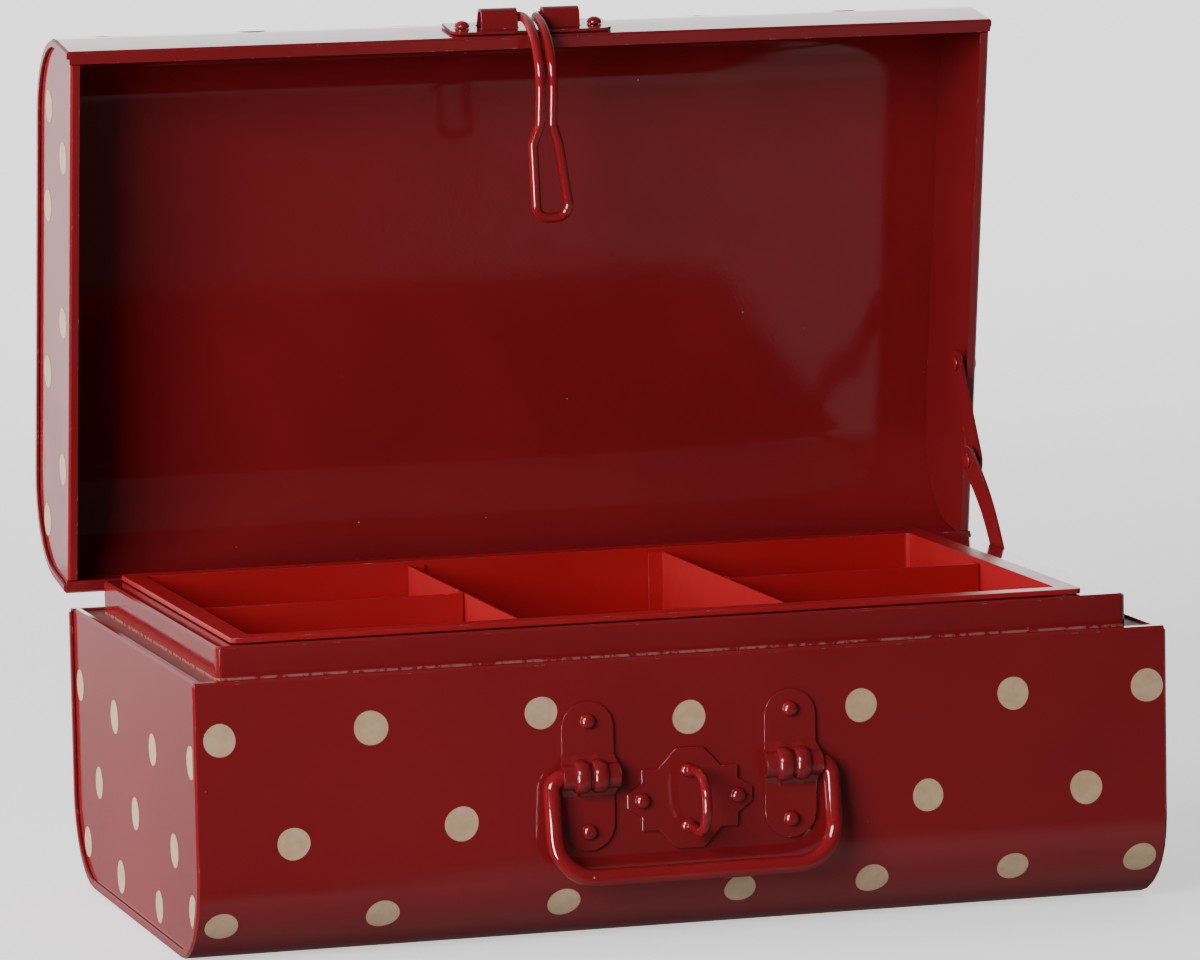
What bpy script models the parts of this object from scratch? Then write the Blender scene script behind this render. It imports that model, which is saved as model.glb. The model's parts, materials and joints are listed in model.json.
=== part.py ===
"""Storage suitcase: a pressed tin case with a domed lid, a lift-out tray, a bail handle and a wire hasp.

The case stands on its flat underside. The origin is the centre of that underside, +X is to the right of
someone facing the front, +Y runs to the back and +Z up. The lid is shown open, held by its folding stay.
"""

import math

import bmesh
import bpy
from mathutils import Matrix, Vector

# Sheet metal and the gap left between neighbouring pieces
SHEET = 0.0008
SEAT_GAP = 0.0003
EDGE_ROUND = 0.0007
ARC_STEPS = 8
CUT_OVERRUN = 0.002

# Case
CASE_WIDTH = 0.300
CASE_DEPTH = 0.173
BASE_HEIGHT = 0.085
BASE_CORNER_RADIUS = 0.027
LID_HEIGHT = 0.046
LID_CORNER_RADIUS = 0.028
LID_OPEN_ANGLE = math.radians(81.2)
SEAM_LIP = 0.0026
BASE_HEM = 0.0032
LID_RIM = 0.0040

# Neck that the lid closes over
NECK_INSET = 0.0093
NECK_HEIGHT = 0.0091
NECK_SKIRT = 0.006
NECK_CORNER_RADIUS = 0.0022

# Rivets
RIVET_SHANK_RADIUS = 0.0012
RIVET_HEAD_RADIUS = 0.0024
RIVET_HEAD_HEIGHT = 0.0019
RIVET_CROWN_SHARES = ((0, 1), (0.55, 0.84), (0.9, 0.42), (1, 0))
RIVET_TAIL_RADIUS = 0.0020
RIVET_TAIL_HEIGHT = 0.0008
RIVET_SIDES = 10

# Lift-out tray, set in from the neck's wall at its ends and at its front and back
TRAY_END_INSET = 0.0092
TRAY_SHIFT = -0.0040
TRAY_SIDE_INSET = 0.0022
TRAY_CLEARANCE = 0.0015
TRAY_DEPTH = 0.026
TRAY_FLANGE = 0.0065
TRAY_HEM = 0.0016
TRAY_CORNER_RADIUS = 0.002
DIVIDER_SPACING = 0.084
DIVIDER_SHIFT = 0.0010
DIVIDER_DROP = 0.0006
DIVIDER_TAB = 0.0055

# Butt hinges on the back
HINGE_END_DISTANCE = 0.0575
HINGE_WIDTH = 0.030
HINGE_DROP = 0.0010
HINGE_LEAF = 0.0012
HINGE_LEAF_HEIGHT = 0.0158
HINGE_BORE_RADIUS = 0.00265
HINGE_PIN_RADIUS = 0.0023
HINGE_PIN_HEAD = 0.0010
HINGE_MIDDLE_KNUCKLE = 0.012
HINGE_KNUCKLE_GAP = 0.0004
HINGE_CORNER_RADIUS = 0.003
HINGE_RIVET_SPACING = 0.018
HINGE_RIVET_INSET = 0.0045

# The front's fittings are centred a little to the left of the case
FITTING_SHIFT = -0.0007

# Bail handle and its brackets
HANDLE_WIRE_RADIUS = 0.00265
HANDLE_WIDTH = 0.0862
HANDLE_DROP = 0.0299
HANDLE_CORNER_RADIUS = 0.0123
HANDLE_SHOULDER_RADIUS = 0.0029
HANDLE_REST_ANGLE = math.radians(11)
HANDLE_END_REACH = 0.0012
BRACKET_WIDTH = 0.0159
BRACKET_TUNNEL_WIDTH = 0.0174
BRACKET_MARGIN = 0.0015
BRACKET_HEADROOM = 0.0049
BRACKET_PIVOT_SHARE = 0.506
BRACKET_SHEET = 0.0009
BRACKET_RIVET_INSET = 0.0058
BRACKET_TUNNEL_FLARE = 0.0022
BRACKET_RIB_HEIGHT = 0.0006
BRACKET_RIB_SPACING = 0.0061
BRACKET_RIB_WIDTH = 0.0044
BRACKET_COLUMNS = 20
BRACKET_ARC_STEPS = 9

# Staple that the hasp closes on
STAPLE_SIDE_CLEARANCE = 0.0039
STAPLE_PLATE_HEIGHT = 0.0302
STAPLE_PLATE_SHEET = 0.0009
STAPLE_PLATE_SHARES = ((0.22, 1.0), (0.50, 0.61), (0.77, 0.61), (0.77, 0.34), (1.0, 0.14))
STAPLE_DROP = 0.0086
STAPLE_RIVET_INSET = 0.0046
STAPLE_WIRE_RADIUS = 0.0015
STAPLE_FOOT_SPACING = 0.017
STAPLE_LOOP_HEIGHT = 0.0185
STAPLE_LOOP_RADIUS = 0.0084
STAPLE_SHOULDER = 0.003
STAPLE_REACH = 0.020
STAPLE_TAIL = 0.0022

# Wire hasp and its plate
HASP_WIRE_RADIUS = 0.00165
HASP_PLATE_WIDTH = 0.052
HASP_PLATE_SHEET = 0.0009
HASP_PLATE_BOTTOM = 0.0026
HASP_PLATE_TOP = 0.0175
HASP_BORE_RADIUS = 0.0020
HASP_PIVOT_HEIGHT = 0.0098
HASP_PIVOT_REACH = 0.0042
HASP_TUNNEL_FLARE = 0.0006
HASP_KNUCKLE_LENGTH = 0.0117
HASP_KNUCKLE_GAP = 0.0084
HASP_SLIT = 0.0005
HASP_CHAMFER = 0.0040
HASP_RIVET_SPACING = 0.043
HASP_LEG_SPACING = 0.0040
HASP_BEND_RADIUS = 0.0020
HASP_ARC_RADIUS = 0.0209
HASP_LEG_LENGTH = 0.0103
HASP_SPLAY_LENGTH = 0.009
HASP_LOOP_LENGTH = 0.0174
HASP_LOOP_WIDTH = 0.0117
HASP_LOOP_CORNER = 0.0046

# Folding stay at the right-hand end
STAY_SHEET = 0.0010
STAY_WIDTH = 0.0094
STAY_LINK_GAP = 0.0016
STAY_LID_REACH = 0.059
STAY_LID_HEIGHT = 0.0050
STAY_FOOT_BACK = 0.0395
STAY_FOOT_HEIGHT = 0.005
STAY_ELBOW_SHARE = 0.4594
STAY_SAG = 0.0045
STAY_BOW = 0.0027
STAY_HEAD_HEIGHT = 0.0007
STAY_STEPS = 8

# Colours as linear red, green and blue
RED = (0.20, 0.006, 0.008)
TRAY_RED = (0.42, 0.004, 0.005)
BARE_METAL = (0.55, 0.53, 0.50)

HALF_WIDTH = CASE_WIDTH / 2
HALF_DEPTH = CASE_DEPTH / 2
PARTING = BASE_HEIGHT + SEAT_GAP
SEAT = SHEET + SEAT_GAP
RIVET_HOLE_RADIUS = RIVET_SHANK_RADIUS + SEAT_GAP
HINGE_OFFSET = HALF_WIDTH - HINGE_END_DISTANCE
HINGE_ROLL_RADIUS = HINGE_BORE_RADIUS + HINGE_LEAF / 2
HINGE_AXIS = Vector((0, HALF_DEPTH + SEAT_GAP + HINGE_LEAF / 2 + HINGE_ROLL_RADIUS, PARTING - HINGE_DROP))
NECK_TOP = BASE_HEIGHT + NECK_HEIGHT
NECK_WALL = HALF_WIDTH - NECK_INSET
NECK_FRONT = HALF_DEPTH - NECK_INSET
TRAY_HALF_LENGTH = NECK_WALL - TRAY_END_INSET
TRAY_HALF_BREADTH = NECK_FRONT - TRAY_SIDE_INSET
WELL_HALF_LENGTH = TRAY_HALF_LENGTH - TRAY_FLANGE
WELL_HALF_BREADTH = TRAY_HALF_BREADTH - TRAY_FLANGE
TRAY_TOP = NECK_TOP + SEAT_GAP + TRAY_HEM
TRAY_FLOOR = TRAY_TOP - TRAY_DEPTH
HASP_PIVOT = Vector((FITTING_SHIFT, -HALF_DEPTH - HASP_PIVOT_REACH, PARTING + HASP_PIVOT_HEIGHT))
BRACKET_LOW = BASE_CORNER_RADIUS + BRACKET_MARGIN
BRACKET_HIGH = BASE_HEIGHT - SEAT - NECK_SKIRT - BRACKET_HEADROOM
BRACKET_OFFSET = HANDLE_WIDTH / 2 - HANDLE_SHOULDER_RADIUS - BRACKET_TUNNEL_WIDTH / 2 - SEAT_GAP
HANDLE_HEIGHT = BRACKET_LOW + BRACKET_PIVOT_SHARE * (BRACKET_HIGH - BRACKET_LOW)
HANDLE_PIVOT = Vector((FITTING_SHIFT, -HALF_DEPTH - SEAT_GAP - HANDLE_WIRE_RADIUS, HANDLE_HEIGHT))
STAPLE_PLATE_HALF = BRACKET_OFFSET - BRACKET_WIDTH / 2 - STAPLE_SIDE_CLEARANCE
STAPLE_CENTRE = Vector((FITTING_SHIFT, -HALF_DEPTH, HANDLE_HEIGHT - STAPLE_DROP))
STAY_LOWER_X = NECK_WALL + SEAT_GAP + STAY_SHEET / 2
STAY_UPPER_X = STAY_LOWER_X + STAY_SHEET + STAY_LINK_GAP


def clear_scene():
    for old in list(bpy.data.objects):
        bpy.data.objects.remove(old)


def make_collection(name):
    collection = bpy.data.collections.new(name)
    bpy.context.scene.collection.children.link(collection)
    return collection


def make_material(name, colour, roughness, metallic):
    material = bpy.data.materials.new(name)
    material.use_nodes = True
    shader = material.node_tree.nodes["Principled BSDF"]
    shader.inputs["Base Color"].default_value = (*colour, 1)
    shader.inputs["Roughness"].default_value = roughness
    shader.inputs["Metallic"].default_value = metallic
    return material


clear_scene()
SUITCASE = make_collection("storage_suitcase")
CUTTERS = make_collection("cutters")
PAINT = make_material("red_enamel", RED, 0.16, 0.0)
TRAY_PAINT = make_material("tray_enamel", TRAY_RED, 0.35, 0.0)
PIN_STEEL = make_material("pin_steel", BARE_METAL, 0.35, 1.0)


def add_object(name, data, material, collection=SUITCASE):
    piece = bpy.data.objects.new(name, data)
    collection.objects.link(piece)
    if material is not None:
        own = material.copy()
        own.name = name + "_finish"
        data.materials.append(own)
    return piece


def mesh_from(bm, name):
    mesh = bpy.data.meshes.new(name)
    bm.to_mesh(mesh)
    bm.free()
    return mesh


def make_pivot(name, place, parent=None):
    """An empty on a joint's axis. Its place is where it stands with the lid still shut."""
    pivot = bpy.data.objects.new(name, None)
    SUITCASE.objects.link(pivot)
    pivot["place"] = place
    pivot.parent = parent
    pivot.location = place if parent is None else place - Vector(parent["place"])
    return pivot


def hang_on(pivot, *pieces):
    """Moves each piece's origin to the pivot and parents it there."""
    for piece in pieces:
        piece.data.transform(Matrix.Translation(-Vector(pivot["place"])))
        piece.parent = pivot


def sweep_chain(bm, chain, places, closed):
    """Extrudes the edges of a chain of vertices and moves the copies, in order, to the given places."""
    pairs = zip(chain, chain[1:] + chain[:1] if closed else chain[1:])
    edges = [bm.edges.get(pair) or bm.edges.new(pair) for pair in pairs]
    grown = bmesh.ops.extrude_edge_only(bm, edges=edges)["geom"]
    copies = {v.co.copy().freeze(): v for v in grown if isinstance(v, bmesh.types.BMVert)}
    following = [copies[v.co.copy().freeze()] for v in chain]
    for vertex, place in zip(following, places):
        vertex.co = place
    return following


def face_outward(bm, outward):
    bmesh.ops.recalc_face_normals(bm, faces=bm.faces)
    furthest = max(bm.faces, key=lambda face: face.calc_center_median().dot(outward))
    if furthest.normal.dot(outward) < 0:
        bmesh.ops.reverse_faces(bm, faces=bm.faces)


def add_wall(piece, thickness, offset=-1):
    wall = piece.modifiers.new("sheet", "SOLIDIFY")
    wall.thickness = thickness
    wall.offset = offset
    wall.use_even_offset = True


def add_sheet(name, sections, outward, thickness, material, closed=False, keep=None, floor=False, offset=-1):
    """A thin sheet lofted through sections of equally many points and given its wall by Solidify.

    keep tells which (column, row) cells of the loft stay, and floor fills the last section.
    """
    bm = bmesh.new()
    chain = [bm.verts.new(place) for place in sections[0]]
    rows = len(chain) if closed else len(chain) - 1
    unwanted = set()
    for column, section in enumerate(sections[1:]):
        following = sweep_chain(bm, chain, section, closed)
        for row in range(rows):
            if keep is not None and not keep(column, row):
                cell = {chain[row], chain[(row + 1) % len(chain)], following[row]}
                unwanted.update(face for face in chain[row].link_faces if cell <= set(face.verts))
        chain = following
    if floor:
        bmesh.ops.contextual_create(bm, geom=chain)
    bmesh.ops.delete(bm, geom=list(unwanted), context="FACES")
    bmesh.ops.delete(bm, geom=[v for v in bm.verts if not v.link_faces], context="VERTS")
    face_outward(bm, outward)
    piece = add_object(name, mesh_from(bm, name), material)
    add_wall(piece, thickness, offset)
    return piece


def add_outline(name, outlines, half_thickness, material):
    """A flat plate from closed outlines in its own XY plane, the second and later ones being holes."""
    curve = bpy.data.curves.new(name, "CURVE")
    curve.dimensions = "2D"
    curve.fill_mode = "BOTH"
    curve.extrude = half_thickness
    for outline in outlines:
        spline = curve.splines.new("POLY")
        spline.points.add(len(outline) - 1)
        spline.use_cyclic_u = True
        for point, (x, y) in zip(spline.points, outline):
            point.co = (x, y, 0, 1)
    return add_object(name, curve, material)


def add_tube(name, places, radius, material):
    curve = bpy.data.curves.new(name, "CURVE")
    curve.dimensions = "3D"
    curve.bevel_depth = radius
    curve.bevel_resolution = 2
    curve.use_fill_caps = True
    curve.twist_mode = "MINIMUM"
    spline = curve.splines.new("POLY")
    spline.points.add(len(places) - 1)
    for point, place in zip(spline.points, places):
        point.co = (*place, 1)
    return add_object(name, curve, material)


def rounded_route(corners, radii, steps):
    """Points along straight runs whose inner corners are turned with the given radii."""
    corners = [Vector(corner) for corner in corners]
    route = [corners[0]]
    for before, corner, after, radius in zip(corners, corners[1:], corners[2:], radii):
        back = (before - corner).normalized()
        ahead = (after - corner).normalized()
        half = back.angle(ahead) / 2
        centre = corner + (back + ahead).normalized() * radius / math.sin(half)
        first = corner + back * radius / math.tan(half) - centre
        last = corner + ahead * radius / math.tan(half) - centre
        turn = first.angle(last)
        for step in range(steps + 1):
            share = step / steps
            leaving = math.sin((1 - share) * turn) / math.sin(turn)
            nearing = math.sin(share * turn) / math.sin(turn)
            route.append(centre + first * leaving + last * nearing)
    return route + [corners[-1]]


def circle(centre_x, centre_y, radius):
    turns = [2 * math.pi * step / RIVET_SIDES for step in range(RIVET_SIDES)]
    return [(centre_x + radius * math.cos(turn), centre_y + radius * math.sin(turn)) for turn in turns]


def pointing(place, direction):
    """A matrix that carries +Z onto a direction at a place."""
    turn = Vector((0, 0, 1)).rotation_difference(Vector(direction)).to_matrix().to_4x4()
    return Matrix.Translation(place) @ turn


def turn_profile(bm, profile, matrix):
    """Spins a profile of (radius, height) points, which starts and ends on the Z axis, into a solid."""
    before = set(bm.verts)
    chain = [bm.verts.new((radius, 0, height)) for radius, height in profile]
    edges = [bm.edges.new(pair) for pair in zip(chain, chain[1:])]
    bmesh.ops.spin(
        bm, geom=chain + edges, axis=(0, 0, 1), cent=(0, 0, 0), angle=2 * math.pi, steps=RIVET_SIDES,
        use_merge=True)
    bmesh.ops.remove_doubles(bm, verts=[v for v in bm.verts if v not in before], dist=EDGE_ROUND / 1000)
    made = [v for v in bm.verts if v not in before]
    bmesh.ops.recalc_face_normals(bm, faces=list({face for v in made for face in v.link_faces}))
    bmesh.ops.transform(bm, matrix=matrix, verts=made)


def rivet_profile(reach, head_height, tail_height, spacer=None):
    """From the crown, standing on z = 0, down the shank to a tail that starts at a depth of reach.

    spacer is the (first, last) depths of a wide part of the shank that keeps two sheets apart.
    """
    shank = RIVET_SHANK_RADIUS
    profile = [(RIVET_HEAD_RADIUS * across, head_height * up) for across, up in RIVET_CROWN_SHARES]
    profile.append((shank, 0))
    if spacer is not None:
        first, last = spacer
        profile += [(shank, -first), (RIVET_TAIL_RADIUS, -first), (RIVET_TAIL_RADIUS, -last), (shank, -last)]
    profile.append((shank, -reach))
    if tail_height > 0:
        profile += [(RIVET_TAIL_RADIUS, -reach), (RIVET_TAIL_RADIUS, -reach - tail_height)]
    return profile + [(0, -reach - tail_height)]


def add_turned(name, profile, place, direction, material=PAINT):
    bm = bmesh.new()
    turn_profile(bm, profile, pointing(place, direction))
    return add_object(name, mesh_from(bm, name), material)


def add_rivets(name, places, direction, grip):
    """A numbered domed rivet at each place, through two sheets whose thicknesses add up to grip."""
    profile = rivet_profile(grip + 3 * SEAT_GAP, RIVET_HEAD_HEIGHT, RIVET_TAIL_HEIGHT)
    numbered = enumerate(places, 1)
    return [add_turned(f"{name}_{number}", profile, place, direction) for number, place in numbered]


def add_cutter(name, places, direction, radius=RIVET_HOLE_RADIUS):
    """Rods that cut a hole at each place."""
    bm = bmesh.new()
    for place in places:
        bmesh.ops.create_cone(
            bm, cap_ends=True, segments=RIVET_SIDES, radius1=radius, radius2=radius, depth=4 * CUT_OVERRUN,
            matrix=pointing(place, direction))
    cutter = add_object(name, mesh_from(bm, name), None, CUTTERS)
    cutter.hide_render = True
    cutter.display_type = "WIRE"
    return cutter


def cut_holes(cutter, *pieces):
    for piece in pieces:
        cut = piece.modifiers.new(cutter.name, "BOOLEAN")
        cut.operation = "DIFFERENCE"
        cut.solver = "EXACT"
        cut.object = cutter


def in_base(x, y, depth):
    return Vector((x, y, BASE_HEIGHT - depth))


def in_lid(x, y, depth):
    return Vector((x, y, PARTING + depth))


def bend_points(height, corner_radius, inset):
    """The rounded corner of the case's outline as (distance from the front, distance from the mouth)."""
    radius = corner_radius - inset
    centre = height - corner_radius
    turns = [math.pi / 2 * step / ARC_STEPS for step in range(ARC_STEPS + 1)]
    return [(corner_radius - radius * math.cos(turn), centre + radius * math.sin(turn)) for turn in turns]


def front_and_back(half, x, to_world):
    """Places half an outline at one x, then its mirror image behind it."""
    points = half + [(CASE_DEPTH - across, depth) for across, depth in reversed(half)]
    return [to_world(x, across - HALF_DEPTH, depth) for across, depth in points]


def add_wrap(name, hem, height, corner_radius, to_world, outward):
    """One sheet bent round front, floor and back, its ends folded in narrow lips that hold the end panels."""
    ends = ((HALF_WIDTH, SEAM_LIP), (HALF_WIDTH, EDGE_ROUND), (HALF_WIDTH - EDGE_ROUND, 0))
    sections = []
    for x, inset in [(-x, inset) for x, inset in ends] + list(reversed(ends)):
        mouth = [(hem, 0), (EDGE_ROUND, 0), (inset, EDGE_ROUND), (inset, SEAT)]
        sections.append(front_and_back(mouth + bend_points(height, corner_radius, inset), x, to_world))
    hem_rows = 3
    last_row = len(sections[0]) - 2
    middle = len(ends) - 1

    def keep(column, row):
        return column == middle or hem_rows <= row <= last_row - hem_rows

    return add_sheet(name, sections, outward, SHEET, PAINT, keep=keep)


def add_end_panel(name, side, hem, height, corner_radius, to_world):
    """A flat end behind the wrap's lips, its mouth edge turned in between the wrap's hems."""
    x = side * (HALF_WIDTH - SEAT)
    half = [(hem + SEAT_GAP, EDGE_ROUND), (hem + SEAT_GAP, SEAT), (SEAT, SEAT)]
    rim = front_and_back(half + bend_points(height, corner_radius, SEAT), x, to_world)
    bm = bmesh.new()
    vertices = [bm.verts.new(place) for place in rim]
    bmesh.ops.contextual_create(bm, geom=vertices)
    mouth = [vertices[0], vertices[-1]]
    for reach in (x - side * EDGE_ROUND, side * (HALF_WIDTH - hem)):
        mouth = sweep_chain(bm, mouth, [to_world(reach, vertex.co.y, 0) for vertex in mouth], False)
    face_outward(bm, Vector((side, 0, 0)))
    panel = add_object(name, mesh_from(bm, name), PAINT)
    add_wall(panel, SHEET)
    return panel


def rounded_rectangle(half_x, half_y, radius, z, centre_x=0, steps=3):
    loop = []
    for sign_x, sign_y, quarter in ((1, 1, 0), (-1, 1, 1), (-1, -1, 2), (1, -1, 3)):
        for step in range(steps + 1):
            turn = math.pi / 2 * (quarter + step / steps)
            x = centre_x + sign_x * (half_x - radius) + radius * math.cos(turn)
            loop.append(Vector((x, sign_y * (half_y - radius) + radius * math.sin(turn), z)))
    return loop


def add_neck():
    """The frame inside the mouth: a skirt, a ledge for the lid, an upright wall, and a shelf for the tray."""
    ledge = BASE_HEIGHT - SEAT
    outer = (HALF_WIDTH - 2 * SEAT, HALF_DEPTH - SEAT)
    wall = (NECK_WALL, NECK_FRONT)
    tray_room = SHEET + TRAY_CLEARANCE
    opening = (WELL_HALF_LENGTH + tray_room, WELL_HALF_BREADTH + tray_room)
    stations = (
        (outer, 0, ledge - NECK_SKIRT),
        (outer, 0, ledge - EDGE_ROUND),
        (outer, EDGE_ROUND, ledge),
        (wall, 0, ledge),
        (wall, 0, NECK_TOP - EDGE_ROUND),
        (wall, EDGE_ROUND, NECK_TOP),
    )
    loops = [rounded_rectangle(x - inset, y - inset, NECK_CORNER_RADIUS, z) for (x, y), inset, z in stations]
    loops.append(rounded_rectangle(*opening, NECK_CORNER_RADIUS, NECK_TOP, TRAY_SHIFT))
    return add_sheet("neck_frame", loops, Vector((0, 0, 1)), SHEET, PAINT, closed=True)


def add_divider(name, start, end, tab_side):
    """A sheet on edge between two walls, each end turned into a tab that lies against its wall."""
    start, end = Vector(start), Vector(end)
    along = (end - start).normalized()
    across = Vector((-along.y, along.x)) * tab_side
    plan = (start + across * DIVIDER_TAB, start, end, end + across * DIVIDER_TAB)
    heights = (TRAY_FLOOR + SEAT_GAP, TRAY_TOP - SHEET - DIVIDER_DROP)
    sections = [[Vector((*place, z)) for place in plan] for z in heights]
    return add_sheet(name, sections, Vector((*-across, 0)), SHEET, TRAY_PAINT)


def add_tray():
    """A pan that hangs in the neck by its flange, with two sheets across it and one along each outer bay."""
    stations = (
        (TRAY_HALF_LENGTH, TRAY_HALF_BREADTH, TRAY_TOP - TRAY_HEM),
        (TRAY_HALF_LENGTH, TRAY_HALF_BREADTH, TRAY_TOP),
        (WELL_HALF_LENGTH, WELL_HALF_BREADTH, TRAY_TOP),
        (WELL_HALF_LENGTH, WELL_HALF_BREADTH, TRAY_FLOOR),
    )
    loops = [rounded_rectangle(x, y, TRAY_CORNER_RADIUS, z, TRAY_SHIFT) for x, y, z in stations]
    add_sheet("tray_pan", loops, Vector((0, 0, 1)), SHEET, TRAY_PAINT, closed=True, floor=True)
    reach = WELL_HALF_BREADTH - SEAT_GAP
    for side, label in ((-1, "left"), (1, "right")):
        x = TRAY_SHIFT + DIVIDER_SHIFT + side * DIVIDER_SPACING / 2
        add_divider("tray_cross_divider_" + label, (x, -reach), (x, reach), side)
        inner, outer = x + side * SEAT_GAP, TRAY_SHIFT + side * (WELL_HALF_LENGTH - SEAT_GAP)
        add_divider("tray_long_divider_" + label, (inner, 0), (outer, 0), side)


def rolled_path(start, pivot, radius, rise, steps=11):
    """(y, z) points of a sheet that reaches a pivot on its wall side and curls round it.

    The sheet comes from below when rise is 1 and from above when it is -1.
    """
    sweep = math.radians(292)
    path = [start]
    for step in range(steps + 1):
        turn = sweep * step / steps
        path.append((pivot.y - radius * math.cos(turn), pivot.z + rise * radius * math.sin(turn)))
    return path


def round_free_corners(piece, height, radius):
    """Rounds the two corners of a leaf that lie at one height."""
    bm = bmesh.new()
    bm.from_mesh(piece.data)
    corners = [v for v in bm.verts if len(v.link_edges) == 2 and abs(v.co.z - height) < SEAT_GAP]
    bmesh.ops.bevel(bm, geom=corners, offset=radius, segments=3, profile=0.5, affect="VERTICES", material=-1)
    bm.to_mesh(piece.data)
    bm.free()


def add_hinge_leaf(name, centre_x, rise, rolled):
    """A flat leaf whose edge is rolled round the hinge's axis at the rolled columns."""
    half, middle = HINGE_WIDTH / 2, HINGE_MIDDLE_KNUCKLE / 2
    gap = HINGE_KNUCKLE_GAP
    leaf_y = HINGE_AXIS.y - HINGE_ROLL_RADIUS
    edge = HINGE_AXIS.z - rise * HINGE_LEAF_HEIGHT
    root = (leaf_y, HINGE_AXIS.z - rise * (HINGE_BORE_RADIUS + HINGE_LEAF + SEAT_GAP))
    path = [(leaf_y, edge)] + rolled_path(root, HINGE_AXIS, HINGE_ROLL_RADIUS, rise)
    columns = (-half, -middle - gap, -middle, middle, middle + gap, half)
    sections = [[Vector((centre_x + x, y, z)) for y, z in path] for x in columns]

    def keep(column, row):
        return row == 0 or column in rolled

    leaf = add_sheet(name, sections, Vector((0, 1, 0)), HINGE_LEAF, PAINT, keep=keep, offset=0)
    round_free_corners(leaf, edge, HINGE_CORNER_RADIUS)
    return leaf


def hinge_rivet_places(rise):
    """Head seats on one leaf of both hinges."""
    height = HINGE_AXIS.z - rise * (HINGE_LEAF_HEIGHT - HINGE_RIVET_INSET)
    y = HALF_DEPTH + HINGE_LEAF + 2 * SEAT_GAP
    offsets = [hinge * HINGE_OFFSET + end * HINGE_RIVET_SPACING / 2 for hinge in (-1, 1) for end in (-1, 1)]
    return [Vector((x, y, height)) for x in offsets]


def pin_profile():
    half = HINGE_WIDTH / 2 + SEAT_GAP
    head = HINGE_PIN_RADIUS + HINGE_PIN_HEAD
    end = [(0, half + HINGE_PIN_HEAD), (head, half + HINGE_PIN_HEAD), (head, half), (HINGE_PIN_RADIUS, half)]
    return end + [(radius, -height) for radius, height in reversed(end)]


def add_hinges():
    """Two butt hinges on the back. The base's leaves carry the outer knuckles and the pins."""
    base_leaves, lid_leaves = [], []
    for side, label in ((-1, "left"), (1, "right")):
        x = side * HINGE_OFFSET
        base_leaves.append(add_hinge_leaf("hinge_base_leaf_" + label, x, 1, (0, 4)))
        lid_leaves.append(add_hinge_leaf("hinge_lid_leaf_" + label, x, -1, (2,)))
        add_turned("hinge_pin_" + label, pin_profile(), HINGE_AXIS + Vector((x, 0, 0)), (1, 0, 0), PIN_STEEL)
    return base_leaves, lid_leaves


def tunnel_arc(pivot, radius, steps):
    """(y, z) points of a half circle round the front of a pivot, from below it to above it."""
    turns = [math.pi * step / steps for step in range(steps + 1)]
    return [(pivot.y - radius * math.sin(turn), pivot.z - radius * math.cos(turn)) for turn in turns]


def bracket_section(centre_x, across):
    """One upright slice of a handle bracket: a flat foot, the ribbed tunnel over the wire, and a flat head."""
    half = BRACKET_WIDTH / 2
    round_off = half - math.sqrt(max(half ** 2 - across ** 2, 0))
    rib_place = (abs(across) - BRACKET_RIB_SPACING / 2) / (BRACKET_RIB_WIDTH / 2)
    rib = BRACKET_RIB_HEIGHT * math.cos(math.pi / 2 * rib_place) ** 2 if abs(rib_place) < 1 else 0
    radius = HANDLE_WIRE_RADIUS + SEAT_GAP + BRACKET_SHEET + rib
    reach = radius + BRACKET_TUNNEL_FLARE
    face_y = -HALF_DEPTH - SEAT_GAP - BRACKET_SHEET
    middle = HANDLE_PIVOT.z
    tunnel = tunnel_arc(HANDLE_PIVOT, radius, BRACKET_ARC_STEPS)
    lower = [(face_y, BRACKET_LOW + round_off), (face_y, middle - reach)]
    upper = [(face_y, middle + reach), (face_y, BRACKET_HIGH - round_off)]
    wide = centre_x + across * BRACKET_TUNNEL_WIDTH / BRACKET_WIDTH
    narrow = centre_x + across
    flat = [Vector((narrow, y, z)) for y, z in lower]
    return flat + [Vector((wide, y, z)) for y, z in tunnel] + [Vector((narrow, y, z)) for y, z in upper]


def bracket_rivet_places(centre_x):
    y = -HALF_DEPTH - 2 * SEAT_GAP - BRACKET_SHEET
    heights = (BRACKET_HIGH - BRACKET_RIVET_INSET, BRACKET_LOW + BRACKET_RIVET_INSET)
    return [Vector((centre_x, y, z)) for z in heights]


def add_brackets():
    brackets, places = [], []
    turns = [math.pi * step / BRACKET_COLUMNS for step in range(BRACKET_COLUMNS + 1)]
    for side, label in ((-1, "left"), (1, "right")):
        centre_x = FITTING_SHIFT + side * BRACKET_OFFSET
        sections = [bracket_section(centre_x, -math.cos(turn) * BRACKET_WIDTH / 2) for turn in turns]
        name = "handle_bracket_" + label
        brackets.append(add_sheet(name, sections, Vector((0, -1, 0)), BRACKET_SHEET, PAINT))
        places += bracket_rivet_places(centre_x)
    add_rivets("bracket_rivet", places, (0, -1, 0), BRACKET_SHEET + SHEET)
    return brackets, places


def add_handle():
    """The bail: each end lies in a bracket's tunnel, turns down, and runs into the grip bar."""
    leg = HANDLE_WIDTH / 2
    end = BRACKET_OFFSET - BRACKET_WIDTH / 2 + HANDLE_END_REACH
    half = [(end, 0, 0), (leg, 0, 0), (leg, 0, -HANDLE_DROP)]
    corners = half + [(-x, y, z) for x, y, z in reversed(half)]
    radii = (HANDLE_SHOULDER_RADIUS, HANDLE_CORNER_RADIUS, HANDLE_CORNER_RADIUS, HANDLE_SHOULDER_RADIUS)
    handle = add_tube("bail_handle", rounded_route(corners, radii, 6), HANDLE_WIRE_RADIUS, PAINT)
    pivot = make_pivot("handle_pivot", HANDLE_PIVOT)
    handle.parent = pivot
    pivot.rotation_euler.x = -HANDLE_REST_ANGLE


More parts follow.
